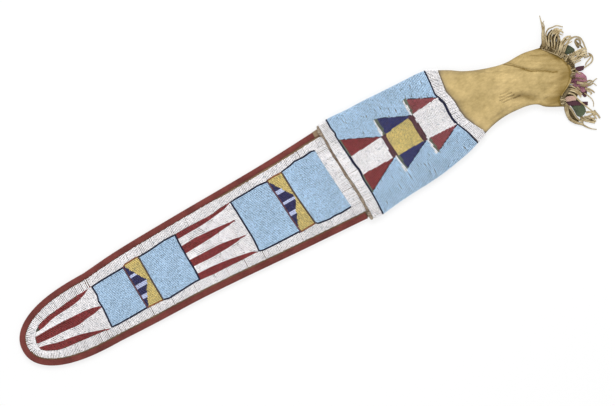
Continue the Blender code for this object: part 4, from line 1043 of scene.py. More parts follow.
def smudge(x, y, up):
    """How dark the hide's front is at a plan point: grime at the mouth and a spot, a dark band and line along the
    beads, and painted shade in its creases, on its sides and beside the lacing.
    """
    edge = follow(NECK_EDGE, y * 1000) / 1000
    mouth = NECK_START + NECK_LENGTH + wave_at(MOUTH_EDGE, y)
    # A darker band along the beads
    beside = bell(x - edge, BEAD_EDGE_BAND) * (0.55 + 0.35 * noise.noise(Vector((x * 90, y * 90, 1.0))))
    # Painted shade in the creases
    deep = min(dents(FINE_FOLDS, x, y) / FINE_DEPTH, 1.0) * 0.22
    deep += min(dents(NECK_FOLDS, x, y) / FOLD_DEPTH, 1.0) * 0.15
    handled = bell(x - mouth, MOUTH_DIRT - 0.010 * clamped(y / 0.010)) * 0.47
    handled += 0.16 * max(noise.noise(Vector((x * 38, y * 60, 3))), 0)
    handled += 0.22 * drawn(x, y, 360, 5.0) * clamped((x - HANDLED_FROM) / 0.020)
    # A thin dark line just past the beads, and painted shade along the creases and in their valleys
    beside += 0.90 * bell(x - edge - 0.0008, DARK_LINE_WIDTH) + dents(SHADES, x, y)
    # Painted shade beside the lacing thong near the mouth
    beside += 0.50 * bell(x - mouth + 0.0045, DARK_LINE_WIDTH)
    # Painted shade where the front turns down to the sides
    side = 0.70 * (1 - min(abs(up) * (1.6 if y > 0 else 2.2), 1.0))
    spot = 0.9 * bell(math.hypot(x - SPOT[0], y - SPOT[1]), SPOT_SIZE)
    return min(max(beside, 0.0) + deep + handled + side + spot, 0.92)


def make_pouch_hide():
    """The tube of the pouch and neck, with an outer face full of wrinkles and a plain lining."""
    stops = [0.0018 + 0.012 * k for k in range(14)]
    stops += [0.172 + 0.028 * k / 36 for k in range(36)]
    stops += [0.200 + (NECK_START + NECK_LENGTH - 0.200) * k / 150 for k in range(151)]
    turns = [math.pi * k / 108 for k in range(109)] + [-math.pi * (1 - k / 30) for k in range(1, 30)]
    mesh = bmesh.new()
    layer = mesh.verts.layers.float.new("grime_and_shade")
    outer = []
    for distance in stops:
        ring = []
        for turn in turns:
            point = pouch_point(distance, turn, 0.0, fine=True)
            darkening = 0.15 if point.x > BARE_FROM else 0.0
            if distance > NECK_START and turn > 0:
                swell = noise.fractal(Vector((point.x * 55, point.y * 110, 2.0)), 1.0, 2.1, 3)
                wrinkle = drawn(point.x, point.y, 400, 6.0)
                point.z += (0.0004 * swell + 0.00022 * wrinkle) * min(2 * math.sin(turn), 1.0)
            if point.x > BARE_FROM and turn > 0:
                darkening = smudge(point.x, point.y, math.sin(turn))
            # Under the beads the hide is painted dark, as shade seen between them
            if point.x < follow(NECK_EDGE, point.y * 1000) / 1000:
                darkening = 0.75
            ring.append(mesh.verts.new(point))
            ring[-1][layer] = darkening
        outer.append(ring)
    lining = [[mesh.verts.new(pouch_point(stop, turn, -HIDE)) for turn in turns] for stop in stops[::4]]
    for rows in (outer, lining, [outer[0], lining[0]], [outer[-1], lining[-1]]):
        skin(mesh, rows, ends=False)
    return mesh


smoked_suede = suede(
    "smoked_suede", (0.585, 0.436, 0.198), (0.340, 0.250, 0.101), (0.120, 0.098, 0.070), 34.0, (0.155, 0.093, 0.012)
)
finished(make_pouch_hide(), "smoked_hide", smoked_suede, "pouch_hide")


# The pouch is beaded all round. Rows across it fill the blue field and the figure on its front, and short rows
# along it make a white lane at each end, with a navy line between lane and field.
SEAM_LINE = (
    (-71.5, 17.7), (-54.6, 18.4), (-38.4, 18.4), (-18.1, 17.0), (-1.9, 17.7), (10.3, 15.4), (19.7, 15.0),
    (35.9, 13.7), (54.9, 12.3), (58.9, 13.7), (69.7, 11.6), (83.9, 12.1),
)
NECK_LINE = (
    (-49.2, 182.6), (-28.9, 177.2), (-11.4, 169.8), (-1.9, 167.7), (10.3, 167.7), (22.4, 168.4), (31.9, 165.0),
    (38.6, 162.3), (56.2, 164.4), (76.5, 165.7),
)
FIGURE = (
    ("first_maroon_bar", ((66.8, 24.3), (74.7, 24.3), (75.9, -9.8), (68.6, -9.8)), None),
    ("second_maroon_bar", ((113.4, 29.8), (121.4, 30.6), (123.3, -10.4), (116.6, -10.4)), None),
    ("first_square", ((10.0, 20.0), (68.5, 24.3), (70.5, -9.4), (10.0, -9.8)), None),
    ("middle_square", ((74.0, 24.3), (115.0, 29.2), (117.4, -9.6), (75.0, -9.8)), None),
    ("last_square", ((120.6, 30.4), (163.2, 34.2), (172.0, 10.0), (172.0, -12.2), (122.8, -10.2)), None),
    ("first_triangle_upper", ((10.0, 51.4), (67.7, 24.8), (67.7, 20.0), (10.0, 17.0)), (0, 1)),
    ("first_triangle_lower", ((10.0, -6.0), (71.4, -6.0), (71.4, -9.6), (10.0, -43.2)), (2, 3)),
    ("middle_triangle_upper", ((74.9, 49.8), (118.0, 30.4), (118.0, 26.0), (74.5, 20.0)), (0, 1)),
    ("middle_triangle_lower", ((75.8, -6.0), (121.6, -6.0), (121.6, -10.6), (78.0, -33.0)), (2, 3)),
    ("last_triangle_upper", ((121.8, 54.6), (163.6, 34.6), (163.6, 30.0), (121.1, 26.0)), (0, 1)),
    ("last_triangle_lower", ((123.8, -6.0), (169.4, -8.0), (169.4, -12.4), (127.2, -34.0)), (2, 3)),
)
HAIRLINES = (
    ("hairline", ((68.4, 49.5), (71.6, 49.5), (71.6, 24.2), (68.4, 24.5))),
    ("hairline", ((71.2, -9.3), (74.6, -10), (77.4, -35), (74.2, -35))),
    ("hairline", ((117.6, 54.9), (120.6, 54.9), (120.6, 30.2), (117.6, 29.9))),
    ("hairline", ((121.6, -10), (124.4, -10), (126.6, -33.6), (123.8, -33.6))),
    ("green_line", ((71.6, 50), (75.4, 49.5), (75.0, 24.5), (71.6, 24.2))),
    ("green_line", ((74.6, -10), (77.6, -10), (79.6, -32.3), (77.0, -33))),
    ("green_line", ((120.6, 55.5), (123.6, 54.2), (123.4, 30.5), (120.6, 30.2))),
    ("green_line", ((124.4, -10), (127.4, -10), (129.4, -33), (126.6, -33.6))),
)
BLUE_SLITS = ((56.6, -49, 6), (76.6, -42, 8), (109.4, -55, 6), (163.5, -46, 6), (44, 4, 0), (86, 60, 4))
BLUE_SLITS += tuple(
    (chance.uniform(22, 163), chance.choice((-1, 1)) * chance.uniform(34, 68) + 6, chance.uniform(2, 4))
    for _ in range(44)
)
FIELD_ROWS = 73
ROW_STEPS = 420
LANE_STEPS = 1440
FIGURE_LINE = 0.9
SLIT_REACH = 2.4
SLIT_SPREAD = 0.00045
POUCH_HUMP = 0.0003
ROW_GAP = 0.30
ROW_GAP_SHARE = 0.05
THICK_SEAM_LINE = (-10.0, 21.0)
THICK_NECK_LINE = (-9.0, 32.0)


def inside(corners, x, y):
    """Whether a plan point is inside a shape."""
    found = False
    for (ax, ay), (bx, by) in zip(corners, corners[1:] + corners[:1]):
        if (ay > y) != (by > y) and x < ax + (bx - ax) * (y - ay) / (by - ay):
            found = not found
    return found


def reach_to(edge, x, y):
    """How far a plan point is from a straight edge."""
    (ax, ay), (bx, by) = edge
    return abs((bx - ax) * (y - ay) - (by - ay) * (x - ax)) / math.hypot(bx - ax, by - ay)


def figure_field(x, y):
    """The field of a bead on the pouch's front."""
    for name, corners in HAIRLINES:
        if inside(corners, x, y):
            return name
    for name, corners, lined in FIGURE:
        if inside(corners, x, y):
            if name.startswith("first_tri") and x - follow(SEAM_LINE, y) < 3.6:
                return "green_line"
            if lined and reach_to((corners[lined[0]], corners[lined[1]]), x, y) < FIGURE_LINE:
                return "figure_line"
            return name
    return "blue_front"


def round_pouch(steps, x_of):
    """Steps round the pouch: how far each is from the first, its place, its turn and its distance along."""
    table, reach = [], 0.0
    for k in range(steps + 1):
        turn = 2 * math.pi * k / steps
        guess = pouch_point(0.09, turn, GAP).y * 1000
        for _ in range(2):
            distance = x_of(guess) / 1000
            guess = pouch_point(distance, turn, GAP).y * 1000
        place = pouch_point(distance, turn, GAP)
        if table:
            reach += (place - table[-1][1]).length
        table.append((reach, place, turn, distance))
    return table


def round_row(x_of, field_of):
    """One row of beads all round the pouch, whose place along it is given for each y."""
    table = round_pouch(ROW_STEPS, x_of)
    count = round(table[-1][0] / BEAD_LENGTH)
    i = 0
    for k in range(count):
        at = table[-1][0] * (k + 0.5) / count
        while table[i + 1][0] < at:
            i += 1
        before, after = table[i], table[i + 1]
        share = (at - before[0]) / max(after[0] - before[0], 1e-9)
        place = before[1].lerp(after[1], share)
        turn, distance = (before[n] + (after[n] - before[n]) * share for n in (2, 3))
        up = (pouch_point(distance, turn, GAP + 0.001) - pouch_point(distance, turn, GAP)).normalized()
        front = turn < math.pi
        x, y = place.x * 1000, place.y * 1000
        if front:
            for slit_x, slit_y, half in BLUE_SLITS:
                if half and abs(x - slit_x) < SLIT_REACH and abs(y - slit_y) < half:
                    place.x += math.copysign(SLIT_SPREAD * (1 - abs(y - slit_y) / half), x - slit_x)
        string_on(field_of(x, y, front), place, (after[1] - before[1]).normalized(), up)


def field_start(y):
    """Where the blue field starts, past the navy line at the seam."""
    return follow(SEAM_LINE, y) + (2.0 if THICK_SEAM_LINE[0] < y < THICK_SEAM_LINE[1] else 1.0)


def field_end(y):
    """Where the blue field ends, short of the navy line at the neck."""
    return follow(NECK_LINE, y) - (2.3 if THICK_NECK_LINE[0] < y < THICK_NECK_LINE[1] else 1.0)


for k in range(FIELD_ROWS):
    share = (k + 0.5) / FIELD_ROWS
    round_row(
        lambda y: field_start(y) + (field_end(y) - field_start(y)) * share,
        lambda x, y, front: figure_field(x, y) if front else "blue_back",
    )
round_row(lambda y: follow(SEAM_LINE, y), lambda x, y, front: "pouch_navy_line")
round_row(lambda y: follow(NECK_LINE, y), lambda x, y, front: "neck_navy_line")


def lane_rows(name, start, end, middle):
    """Short rows along the pouch between two lines, one after another all round it."""
    table = round_pouch(LANE_STEPS, lambda y: middle)
    at, i = PITCH / 2000, 0
    while at < table[-1][0] - PITCH / 3000:
        while table[i + 1][0] < at:
            i += 1
        turn, y = table[i][2], table[i][1].y * 1000
        begin, stop = start(y), end(y)
        count = max(round((stop - begin) / (BEAD_LENGTH * 1000)), 1)
        for k in range(count):
            distance = (begin + (stop - begin) * (k + 0.5) / count) / 1000
            lift = GAP + POUCH_HUMP * math.sin(math.pi * (k + 0.5) / count) * (math.sin(turn) > 0.2)
            place = pouch_point(distance, turn, lift)
            up = (pouch_point(distance, turn, lift + 0.001) - place).normalized()
            string_on(name, place, (pouch_point(distance + 0.001, turn, lift) - place).normalized(), up)
        at += (PITCH + ROW_GAP * (chance.random() < ROW_GAP_SHARE)) / 1000


def thick_line(name, line, low, high, side):
    """The second row of a navy line, where it is thick."""
    y = low
    while y < high:
        x = (follow(line, y) + side * 1.9) / 1000
        middle, half, _, _ = pouch_section(x)
        turn = math.acos(power((middle - y / 1000) / (half + GAP), POUCH_ROUND / 2))
        place = pouch_point(x, turn, GAP)
        string_on(name, place, Vector((0, 1, 0)), (pouch_point(x, turn, GAP + 0.001) - place).normalized())
        y += BEAD_LENGTH * 1000


lane_rows(
    "pouch_lane", lambda y: follow(WELT_MIDDLE, y) + follow(WELT_HALF, y) + 0.2, lambda y: follow(SEAM_LINE, y) - 1.0,
    8,
)
lane_rows("neck_lane", lambda y: follow(NECK_LINE, y) + 1.0, lambda y: follow(NECK_EDGE, y), 175)
thick_line("pouch_navy_line", SEAM_LINE, *THICK_SEAM_LINE, 1)
thick_line("neck_navy_line", NECK_LINE, *THICK_NECK_LINE, -1)
pouch_colours = {
    "blue_front": "blue", "blue_back": "blue", "pouch_lane": "white", "neck_lane": "white",
    "pouch_navy_line": "line", "neck_navy_line": "line", "hairline": "white", "green_line": "green",
    "figure_line": "line", "first_square": "white", "last_square": "white", "middle_square": "gold",
    "first_maroon_bar": "maroon", "second_maroon_bar": "maroon", "first_triangle": "bright_red",
    "middle_triangle": "indigo", "last_triangle": "faded_red",
}
sew_all(pouch_colours, 60, {"pouch_navy_line": 1.4, "neck_navy_line": 1.4, "pouch_lane": 1.07})
bpy.data.objects.remove(bead)
bpy.data.objects.remove(plain_bead)


# The mouth is fringed with thongs of the same hide, sewn on or slit, that have curled as they dried. Points are
# in millimetres, and each thong is a closed strip. The wide, nearly black strips under the thongs are painted shade.
THONG = 0.0011
ROOTS = 54
ROOTS_START = 0.17
ROOTS_SPAN = 0.77
ROOTLESS = (-0.048, -0.034)


def smooth_line(points, count):
    """Places at even steps on a smooth curve through points."""
    numbers = list(range(len(points)))
    columns = list(zip(*points))
    return [
        Vector([curve_through(numbers, list(column), (len(points) - 1) * k / count) for column in columns])
        for k in range(count + 1)
    ]


def add_thong(mesh, points, start_width, end_width, curl=0.0, dirt_and_shade=0.0):
    """Adds one thong through points, from one width to another, that rolls over to one side on its way."""
    path = [p / 1000 for p in smooth_line(points, 7 * (len(points) - 1))]
    layer = mesh.verts.layers.float["grime_and_shade"]
    dirt_and_shade += chance.uniform(0.0, 0.22)
    rows = []
    for i, place in enumerate(path):
        along = (path[min(i + 1, len(path) - 1)] - path[max(i - 1, 0)]).normalized()
        side = Vector((-along.y, along.x, 0)).normalized()
        up = along.cross(side)
        share = i / (len(path) - 1)
        angle = curl * math.sin(math.pi * min(share * 1.2, 1.0))
        side, up = side * math.cos(angle) + up * math.sin(angle), up * math.cos(angle) - side * math.sin(angle)
        ragged = 1 + 0.12 * noise.noise(Vector((place.x * 260, place.y * 260, 4.0)))
        half = (start_width + (end_width - start_width) * share) / 2000 * ragged
        row = []
        for across, high in ((-1, 0), (-0.75, 0.5), (0.75, 0.5), (1, 0), (0.75, -0.5), (-0.75, -0.5)):
            point = place + side * half * across + up * THONG * high
            point.z = max(point.z, 0.0002)
            row.append(mesh.verts.new(point))
            # Painted shade on each thong's edges and underside, and darker towards its root
            rim = 0.55 if abs(across) == 1 or high < 0 else 0.0
            row[-1][layer] = min(dirt_and_shade + rim + max(0.25 - share, 0.0), 0.95)
        rows.append(row)
    skin(mesh, rows)


def make_thongs(name, thongs, *nodes):
    """One piece of several thongs, each given as points, widths at both ends, curl, and how dark it is, for dirt and
    for painted shade.
    """
    mesh = bmesh.new()
    mesh.verts.layers.float.new("grime_and_shade")
    for thong in thongs:
        add_thong(mesh, *thong)
    return finished(mesh, name, thong_suede, *nodes)


thong_suede = suede("thong_suede", (0.725, 0.610, 0.390), (0.300, 0.208, 0.090), (0.060, 0.039, 0.014), 130.0)
dress(thong_suede, Sheen_Weight=0.0, Specular_IOR_Level=0.05)
UPPER = (
    (((329, 24, 9.5), (331.5, 31, 9.5), (335.2, 39.1, 8), (339.5, 46.1, 6.5), (342.3, 54.2, 4.5),
      (345.6, 65.3, 2)), 7, 1, 0.4, 0.28),
    (((332.5, 27, 9), (335.2, 35.1, 8), (340.1, 43.1, 6), (343.6, 49.2, 4.5), (344.5, 54.2, 3.5),
      (347, 55.6, 3)), 3.1, 1, 0.3, 0.25),
    (((333.9, 22, 10), (335.5, 30, 9.5), (339.7, 38.1, 8), (346.1, 42.6, 6), (352.4, 42.2, 4.5),
      (359.6, 41.2, 3.5), (366.3, 35.7, 2)), 3.4, 1.5, 0.8),
    (((334.3, 20, 10.5), (338, 27, 9.5), (342.7, 34.1, 8), (349.1, 37.1, 6), (355.5, 38.2, 4),
      (359.6, 36.2, 3)), 2.5, 2.0, 0.7),
    (((337.2, 17, 11), (340.4, 23, 10), (343.6, 30.1, 8.5), (350.1, 35.1, 6), (356.5, 35.6, 4)), 2.4, 2.2, 0.8, 0.1),
    (((339.7, 14.5, 11), (343.4, 20, 10), (347.2, 26.6, 8.5), (353.1, 30.6, 6), (359.5, 32.1, 4)),
     2.6, 2.3, 0.6),
    (((342.2, 12, 11), (346.4, 17, 10), (350.7, 22.6, 8), (354.1, 28.1, 6), (355.4, 31.6, 4.5)), 2.4, 2.1, 0.7, 0.15),
    (((344.2, 9.5, 11), (348.4, 14, 10), (352.7, 19.5, 8), (353.6, 26.1, 6), (352.9, 30.1, 4.5)),
     2.6, 1.8, 0.6),
    (((353.3, 38.1, 5), (357.4, 35.6, 4.4), (361.6, 31.1, 3.4), (362.8, 27.6, 2.4)), 2.9, 2, 0.4),
    (((348.9, 33.1, 7), (354.2, 33.6, 5.4), (359.5, 34.1, 4), (363.8, 33.2, 2.4)), 3.1, 1.8, 0.3),
    (((355.3, 31.1, 4.6), (358.6, 28.1, 3), (360.8, 25.6, 2)), 2.1, 1, 0.2),
    # The last three, wide and nearly black, are sheets of painted shade under the thongs
    (((333.9, 20.1, 7), (338.1, 28.1, 6), (344.4, 35.1, 4), (351.8, 38.2, 2)), 8.5, 4.5, 0.1, 0.9),
    (((337.7, 15, 8), (343, 22.1, 6.5), (349.4, 29.1, 4), (355.8, 33.2, 2)), 9, 5.5, 0.1, 0.9),
    (((342.6, 10.5, 8.5), (348, 17.1, 6.5), (352.4, 23.1, 4), (354.8, 28.1, 2)), 8.5, 4, 0.1, 0.9),
)
MIDDLE = (
    (((335.8, 18, 12), (341.4, 8.8, 12.2), (347.6, 0.2, 12), (354.2, -6, 11)), 2.1, 1.7, 0.3, 0.15),
    (((344.2, 8.5, 11), (349.4, 14, 10), (355.7, 18.5, 8.5), (363, 20.6, 6.5), (369.3, 18.6, 5)),
     3.9, 2.5, 0.5),
    (((345.2, 6.5, 11), (350.4, 11.5, 10), (356.7, 15.5, 8.5), (364, 17.1, 6.5), (370.3, 16.6, 5)),
     3.6, 2, 0.4),
    (((347.2, 4, 11), (352.5, 9, 9.5), (359.3, 12.5, 8), (367.1, 15.3, 6), (374.3, 15.1, 5),
      (379.5, 10.6, 4.4), (380.7, 4, 4), (380, -3, 3.6), (379.6, -9, 3.4)), 2.9, 2, 0.3, 0.25),
    (((348.3, 2.5, 10.5), (352.6, 6, 9), (356.8, 9.5, 8), (361.9, 11.5, 7), (367.1, 11.5, 6)), 2.1, 1.5, 0.5),
    (((371.7, -1, 3), (371.1, 4, 3.4), (371.5, 9.1, 4), (375, 11.1, 4), (377.6, 7.6, 3.6), (376.2, 3, 3),
      (373.3, 2.4, 2.6)), 3.5, 2.4, 0.2, 0.55),
    (((371.3, 10.1, 2.6), (373.3, 6.1, 2.2), (375.9, -1, 2), (376.4, -6, 1.8)), 2.8, 2.2, 0.1, 0.7),
    (((348.2, -3, 11), (354.6, -4.4, 9), (362.9, -4.2, 7), (371.3, -4.6, 5.4), (379.6, -6, 3.6)),
     3.1, 2.8, 0.3),
    (((348.2, -6.5, 11), (355.5, -7.6, 9.4), (363.9, -7, 7.2), (372.3, -8, 5.2), (379.6, -9.6, 3.4)),
     3.4, 3, 0.2),
    (((347.7, -10, 11), (354.5, -10.4, 9.2), (362.9, -11.2, 7), (371.3, -11, 5), (378.7, -12.8, 3.2)),
     3.4, 2.8, 0.3),
    (((347.3, -13.5, 10.8), (354.6, -13.4, 9), (361.9, -14.6, 7), (370.3, -14.4, 5), (377.7, -15.6, 3)),
     3.1, 2.5, 0.2),
    (((351.6, -16, 9), (357.9, -17, 7), (365.3, -17.6, 5)), 2.6, 1.8, 0.4),
    (((354.3, -2.5, 10.4), (360.6, -6, 9), (366.9, -11.5, 7.4), (374.3, -15, 5)), 2.3, 2, 0.3, 0.1),
    (((356.7, -15.5, 8.6), (362.7, -11, 8.6), (370, -6.5, 7), (377.4, -4, 4.8)), 2.3, 1.8, 0.4),
    (((350.2, -9, 11.4), (356.4, -5.6, 10.2), (362.8, -3, 8)), 2.1, 1.5, 0.3, 0.2),
    # These two, wide and nearly black, are sheets of painted shade under the thongs
    (((347.7, -5, 8), (356.1, -6, 6), (365.5, -7, 4), (375.9, -9, 2)), 6, 4, 0.1, 0.9),
    (((347.7, -12, 8), (356.1, -12.5, 6), (365.5, -13, 4), (374.9, -14, 2)), 6, 4, 0.1, 0.9),
    (((346.3, -17, 10.5), (350.5, -15, 9.5), (353.8, -18, 8), (352.1, -22, 6), (349.3, -24.1, 5)),
     2.1, 1.5, 0.5, 0.2),
    (((345.9, -20, 10), (349.2, -23, 8), (352, -27, 6.6), (354.2, -30.1, 5.6)), 2.3, 1.5, 0.4, 0.1),
    (((347.5, -22, 9.4), (350.8, -27, 7.6), (352.9, -31.1, 7), (356, -35.1, 6.6)), 2.3, 1.5, 0.4),
    (((379.6, -14, 3.4), (382.3, -19, 3), (381.3, -24.1, 2.4), (376.9, -27.5, 1.8), (369, -28.9, 1.4),
      (363, -29.1, 1.2)), 2.3, 1.8, 0.2, 0.1),
    (((371.7, -17, 3), (376.8, -18, 2.6), (381.3, -17.6, 2.4), (378.9, -21.1, 2), (371.9, -24.1, 1.6),
      (368, -27.1, 1.4)), 2.1, 1.6, 0.2, 0.2),
    # A wide, nearly black sheet of painted shade under the thongs
    (((344.7, 7, 8), (350.1, 12, 6), (356.5, 16.6, 4), (362.8, 18.7, 2)), 4.4, 2, 0.1, 0.9),
)
LOWER = (
    (((316.3, -46.5, 10.4), (322.4, -44, 9.8), (329.6, -44.1, 8.8), (335.8, -48.1, 7.4), (340.1, -54.1, 6),
      (342.8, -61.2, 4.4)), 2.9, 2.3, 0.4, 0.15),
    (((317.4, -48.5, 9.8), (323.5, -46.2, 9.4), (329.6, -46.9, 8.4), (334.9, -50.6, 7), (338.7, -56.1, 5.4),
      (340.9, -63.2, 4)), 3.1, 2, 0.4),
    (((316.5, -50.6, 9.4), (322.5, -48.9, 9), (328.1, -50.1, 8.4), (332.8, -55.1, 7.6), (335, -63.6, 6.4),
      (337.6, -70.7, 5.4), (342.8, -83, 4), (348.2, -94.2, 2.4), (350.3, -98.2, 2)), 2.9, 1.8, 0.3),
    (((331.4, -40, 10), (335.6, -43, 9), (339.3, -48.1, 7.6), (341.5, -54.1, 6.2), (343.8, -60.2, 4.6)),
     2.6, 2, 0.4, 0.15),
    (((335.4, -38, 9.8), (339.6, -42.6, 8.6), (342.3, -48.1, 7.4), (344.1, -54.1, 6)), 2.6, 1.8, 0.4, 0.1),
    # These three, wide and nearly black, are sheets of painted shade under the thongs
    (((318.8, -48.1, 7.4), (327, -47.1, 6.4), (333.2, -51.1, 5.2), (338.4, -58.2, 3.8)), 7.8, 5.8, 0.1, 0.9),
    (((330.8, -40.1, 7.5), (336, -45.1, 6.5), (339.2, -51.1, 5), (341.5, -57.2, 3.4)), 6.5, 4.5, 0.1, 0.9),
    (((314.5, -50.5, 5), (321, -51.5, 5), (327.5, -54.5, 4.5), (333, -60.5, 4)), 8, 5, 0.1, 0.9),
    (((347.6, -60.2, 3), (350.7, -66.2, 2.6), (353.1, -73.3, 2), (352.4, -79.3, 1.4), (350, -83.4, 1)),
     1.8, 1, 0.3, 0.2),
    (((325.5, -88.3, 3), (330.6, -90.8, 2.8), (336.6, -91.8, 2.6), (343.7, -91.9, 2.2), (349.8, -89.4, 1.6)),
     3.6, 2, 0.2, 0.25),
    (((326.5, -90.3, 3), (331.1, -95.4, 2.6), (336.2, -99.9, 2), (340.8, -103.9, 1.4)), 4.2, 3, 0.3, 0.2),
    (((331.4, -89.3, 3.6), (336.5, -93.3, 3.4), (340.6, -98.4, 2.8), (342.8, -103.4, 1.4)), 3.1, 2.5, 0.3, 0.15),
    (((328.4, -87.8, 4), (333.4, -94.8, 3.8), (340.6, -96.9, 2.6), (344.9, -98.9, 1.4)), 2.6, 1.8, 0.3, 0.2),
    (((347.1, -88.3, 2.8), (348.7, -93.4, 2.2), (349.8, -97.4, 1.6), (350, -101.9, 1)), 3.4, 2.5, 0.2, 0.25),
    (((336.3, -85.3, 4.4), (340.4, -86.8, 3.8), (344.6, -90.3, 3.2), (347.3, -95.4, 2)), 3.4, 2, 0.2),
    (((343.6, -92.3, 3), (345.3, -97.4, 2), (345.9, -100.9, 1.2)), 2.3, 1.5, 0.2),
    # A wide, nearly black sheet of painted shade under the lowest thongs
    (((325.7, -89.4, 1.6), (331.8, -93.4, 1.4), (337.9, -97.4, 1.2), (341.9, -101.4, 1)), 6.5, 4.2, 0.1, 0.85),
)
CURLED = (
    (((344.6, -42.1, 8.6), (349.8, -46.1, 7.4), (356.2, -50.1, 5.6), (363.7, -51.7, 3), (373.5, -51, 1.4)),
     4.4, 1.1, 0.3, 0.25),
    (((347.9, -47.1, 7), (354.3, -52.1, 5), (360.6, -54.2, 3), (365.9, -54.2, 1.8)), 5.7, 1.5, 0.3, 0.25),
    (((353.1, -48.1, 6), (358.4, -47.7, 4.6), (363.7, -49.2, 2.8), (367.4, -53.2, 1.6)), 3.9, 1.2, 0.3, 0.3),
    (((351.4, -55.2, 4.4), (355.6, -58.2, 3.2), (358.8, -62.2, 2.2), (361, -66.8, 1.2)), 3.4, 1.8, 0.4, 0.15),
    (((352.4, -58.2, 4), (355.2, -62.2, 2.8), (356.8, -65.3, 1.8), (354.4, -66.3, 1.2)), 2.9, 1.8, 0.4),
    (((364.8, -53.2, 2.2), (366.9, -56.7, 1.6), (368, -59.7, 1)), 1.4, 0.9, 0.1),
    (((344.6, -33, 9), (350.7, -38.1, 8), (356, -43.1, 6.6), (359.3, -47.1, 5)), 1.8, 1.2, 0.3, 0.4),
)
LOOPED = (
    (((312.7, -57.1, 8), (315.8, -63.1, 7.4), (313.8, -69.2, 6), (312.4, -76.2, 4.8), (312.9, -83.3, 3.8),
      (317, -90.3, 3), (322.1, -95.4, 2.4), (325.7, -98.9, 2)), 7.3, 3.2, 0.35, 0.3),
    (((314.7, -60.1, 8), (318.3, -66.1, 7), (320.2, -73.2, 5.8), (320.6, -80.2, 4.8), (321.4, -86.3, 3.8),
      (324, -91.8, 3), (326.6, -95.9, 2.4)), 3.9, 2.5, 0.4, 0.2),
    # A dark sheet of painted shade in the hollow of the loop
    (((315.7, -64.2, 5), (317.1, -71.2, 4), (317.5, -78.3, 3), (318.6, -85.3, 2), (321.8, -91.4, 1.4)),
     6, 3.8, 0.1, 0.75),
    (((324.2, -97.9, 2), (328.3, -104.4, 1.6), (332.8, -109.5, 1.2), (338.4, -113.5, 1)), 2.6, 1.1, 0.2, 0.3),
)


def mouth_roots():
    """Short ends of thongs all along the edge of the mouth, the thong that laces them on, and its inner lip, painted
    dark for the shade inside the mouth.
    """
    roots, lacing, lip = [], [], []
    for k in range(ROOTS):
        turn = math.pi * (ROOTS_START + ROOTS_SPAN * k / (ROOTS - 1))
        edge = pouch_point(NECK_START + NECK_LENGTH, turn, 0.0010)
        ahead = pouch_point(NECK_START + NECK_LENGTH, turn + 0.01, 0.0010)
        across = Vector((ahead.x - edge.x, ahead.y - edge.y, 0)).normalized()
        out = Vector((across.y, -across.x, 0))
        swing = chance.uniform(-0.5, 0.5)
        start = pouch_point(NECK_START + NECK_LENGTH, turn, 0.0012) - out * chance.uniform(0.001, 0.0035)
        stop = edge + (out + across * swing) * chance.uniform(0.0025, 0.0060)
        stop.z -= chance.uniform(0.0015, 0.0050)
        over = start.lerp(stop, 0.5) + Vector((0, 0, 0.0012))
        widths = chance.uniform(1.5, 2.6), chance.uniform(1.0, 2.0)
        dirt_and_shade = chance.choice((0.0, 0.2, 0.4, 0.6, 0.85)) + 0.25 * (edge.y > -0.003)
        roots.append(([p * 1000 for p in (start, over, stop)], *widths, 0.3, dirt_and_shade))
        if ROOTLESS[0] < edge.y < ROOTLESS[1]:
            roots.pop()
        lip.append((edge + out * 0.0022 - Vector((0, 0, 0.0045))) * 1000)
        lacing.append((edge - out * 0.0030 + across * 0.0006 * (-1) ** k + Vector((0, 0, 0.0004))) * 1000)
    # The inner lip is a real part, painted nearly black as shade inside the mouth
    lips = [
        ([p for p in lip if low < p.y < high], wide, wide, 0.0, 0.8)
        for low, high, wide in ((-4, 26, 8.0), (-30, 0, 5.0), (-61, -42, 6.5))
    ]
    return roots + lips + [(lacing[30:51], 1.5, 1.5, 0.1, 0.35)]


make_thongs("upper_thongs", UPPER, "upper_fringe")
make_thongs("middle_thongs", MIDDLE, "middle_fringe")
make_thongs("mouth_thongs", mouth_roots())
make_thongs("lower_thongs", LOWER, "lower_fringe")
make_thongs("curled_thongs", CURLED, "curled_thong")
make_thongs("looped_thongs", LOOPED, "loop_thong")


# Strips of old wool cloth, green, dark purple, faded mauve and pink, are sewn in under the fringe and hang out of the
# mouth. Each is given by the points of its two sides, in millimetres, from its root to its end.
CLOTH = 0.0010
CLOTH_LOWEST = 0.0003
LEAST_SIDE = 0.0102


def make_cloth(name, material, left, right, node=None, ruffle=0.8, fold=0.0):
    """One strip of cloth between two sides, crumpled, with pleats of a given depth."""
    steps, across = 21, 18
    left, right = smooth_line(left, steps), smooth_line(right, steps)
    mesh = bmesh.new()
    grids = []
    for lift in (1, 0):
        rows = []
        for one, other in zip(left, right):
            row = []
            for k in range(across + 1):
                place = one.lerp(other, k / across) / 1000
                crumple = noise.noise(Vector((place.x * 130, place.y * 130, 7.0)))
                place.z += ruffle / 1000 * (crumple + 0.3)
                place.z += fold / 1000 * math.sin(440 * place.x + 790 * place.y + 3 * crumple)
                place.z = max(place.z, CLOTH_LOWEST) + CLOTH * lift
                row.append(mesh.verts.new(place))
            rows.append(row)
        grids.append(rows)
    for rows in grids:
        for row, after in zip(rows, rows[1:]):
            for k in range(across):
                mesh.faces.new((row[k], row[k + 1], after[k + 1], after[k]))
    top, under = grids
    rim = [(0, k) for k in range(across)] + [(i, across) for i in range(steps)]
    rim += [(steps, k) for k in range(across, 0, -1)] + [(i, 0) for i in range(steps, 0, -1)]
    for (i, k), (m, n) in zip(rim, rim[1:] + rim[:1]):
        mesh.faces.new((top[i][k], top[m][n], under[m][n], under[i][k]))
    piece = finished(mesh, name, material, *([node] if node else []))
    middle = [one.lerp(other, 0.5) / 1000 for one, other in zip(left, right)]
    length = max(sum((after - before).length for before, after in zip(middle, middle[1:])), LEAST_SIDE)


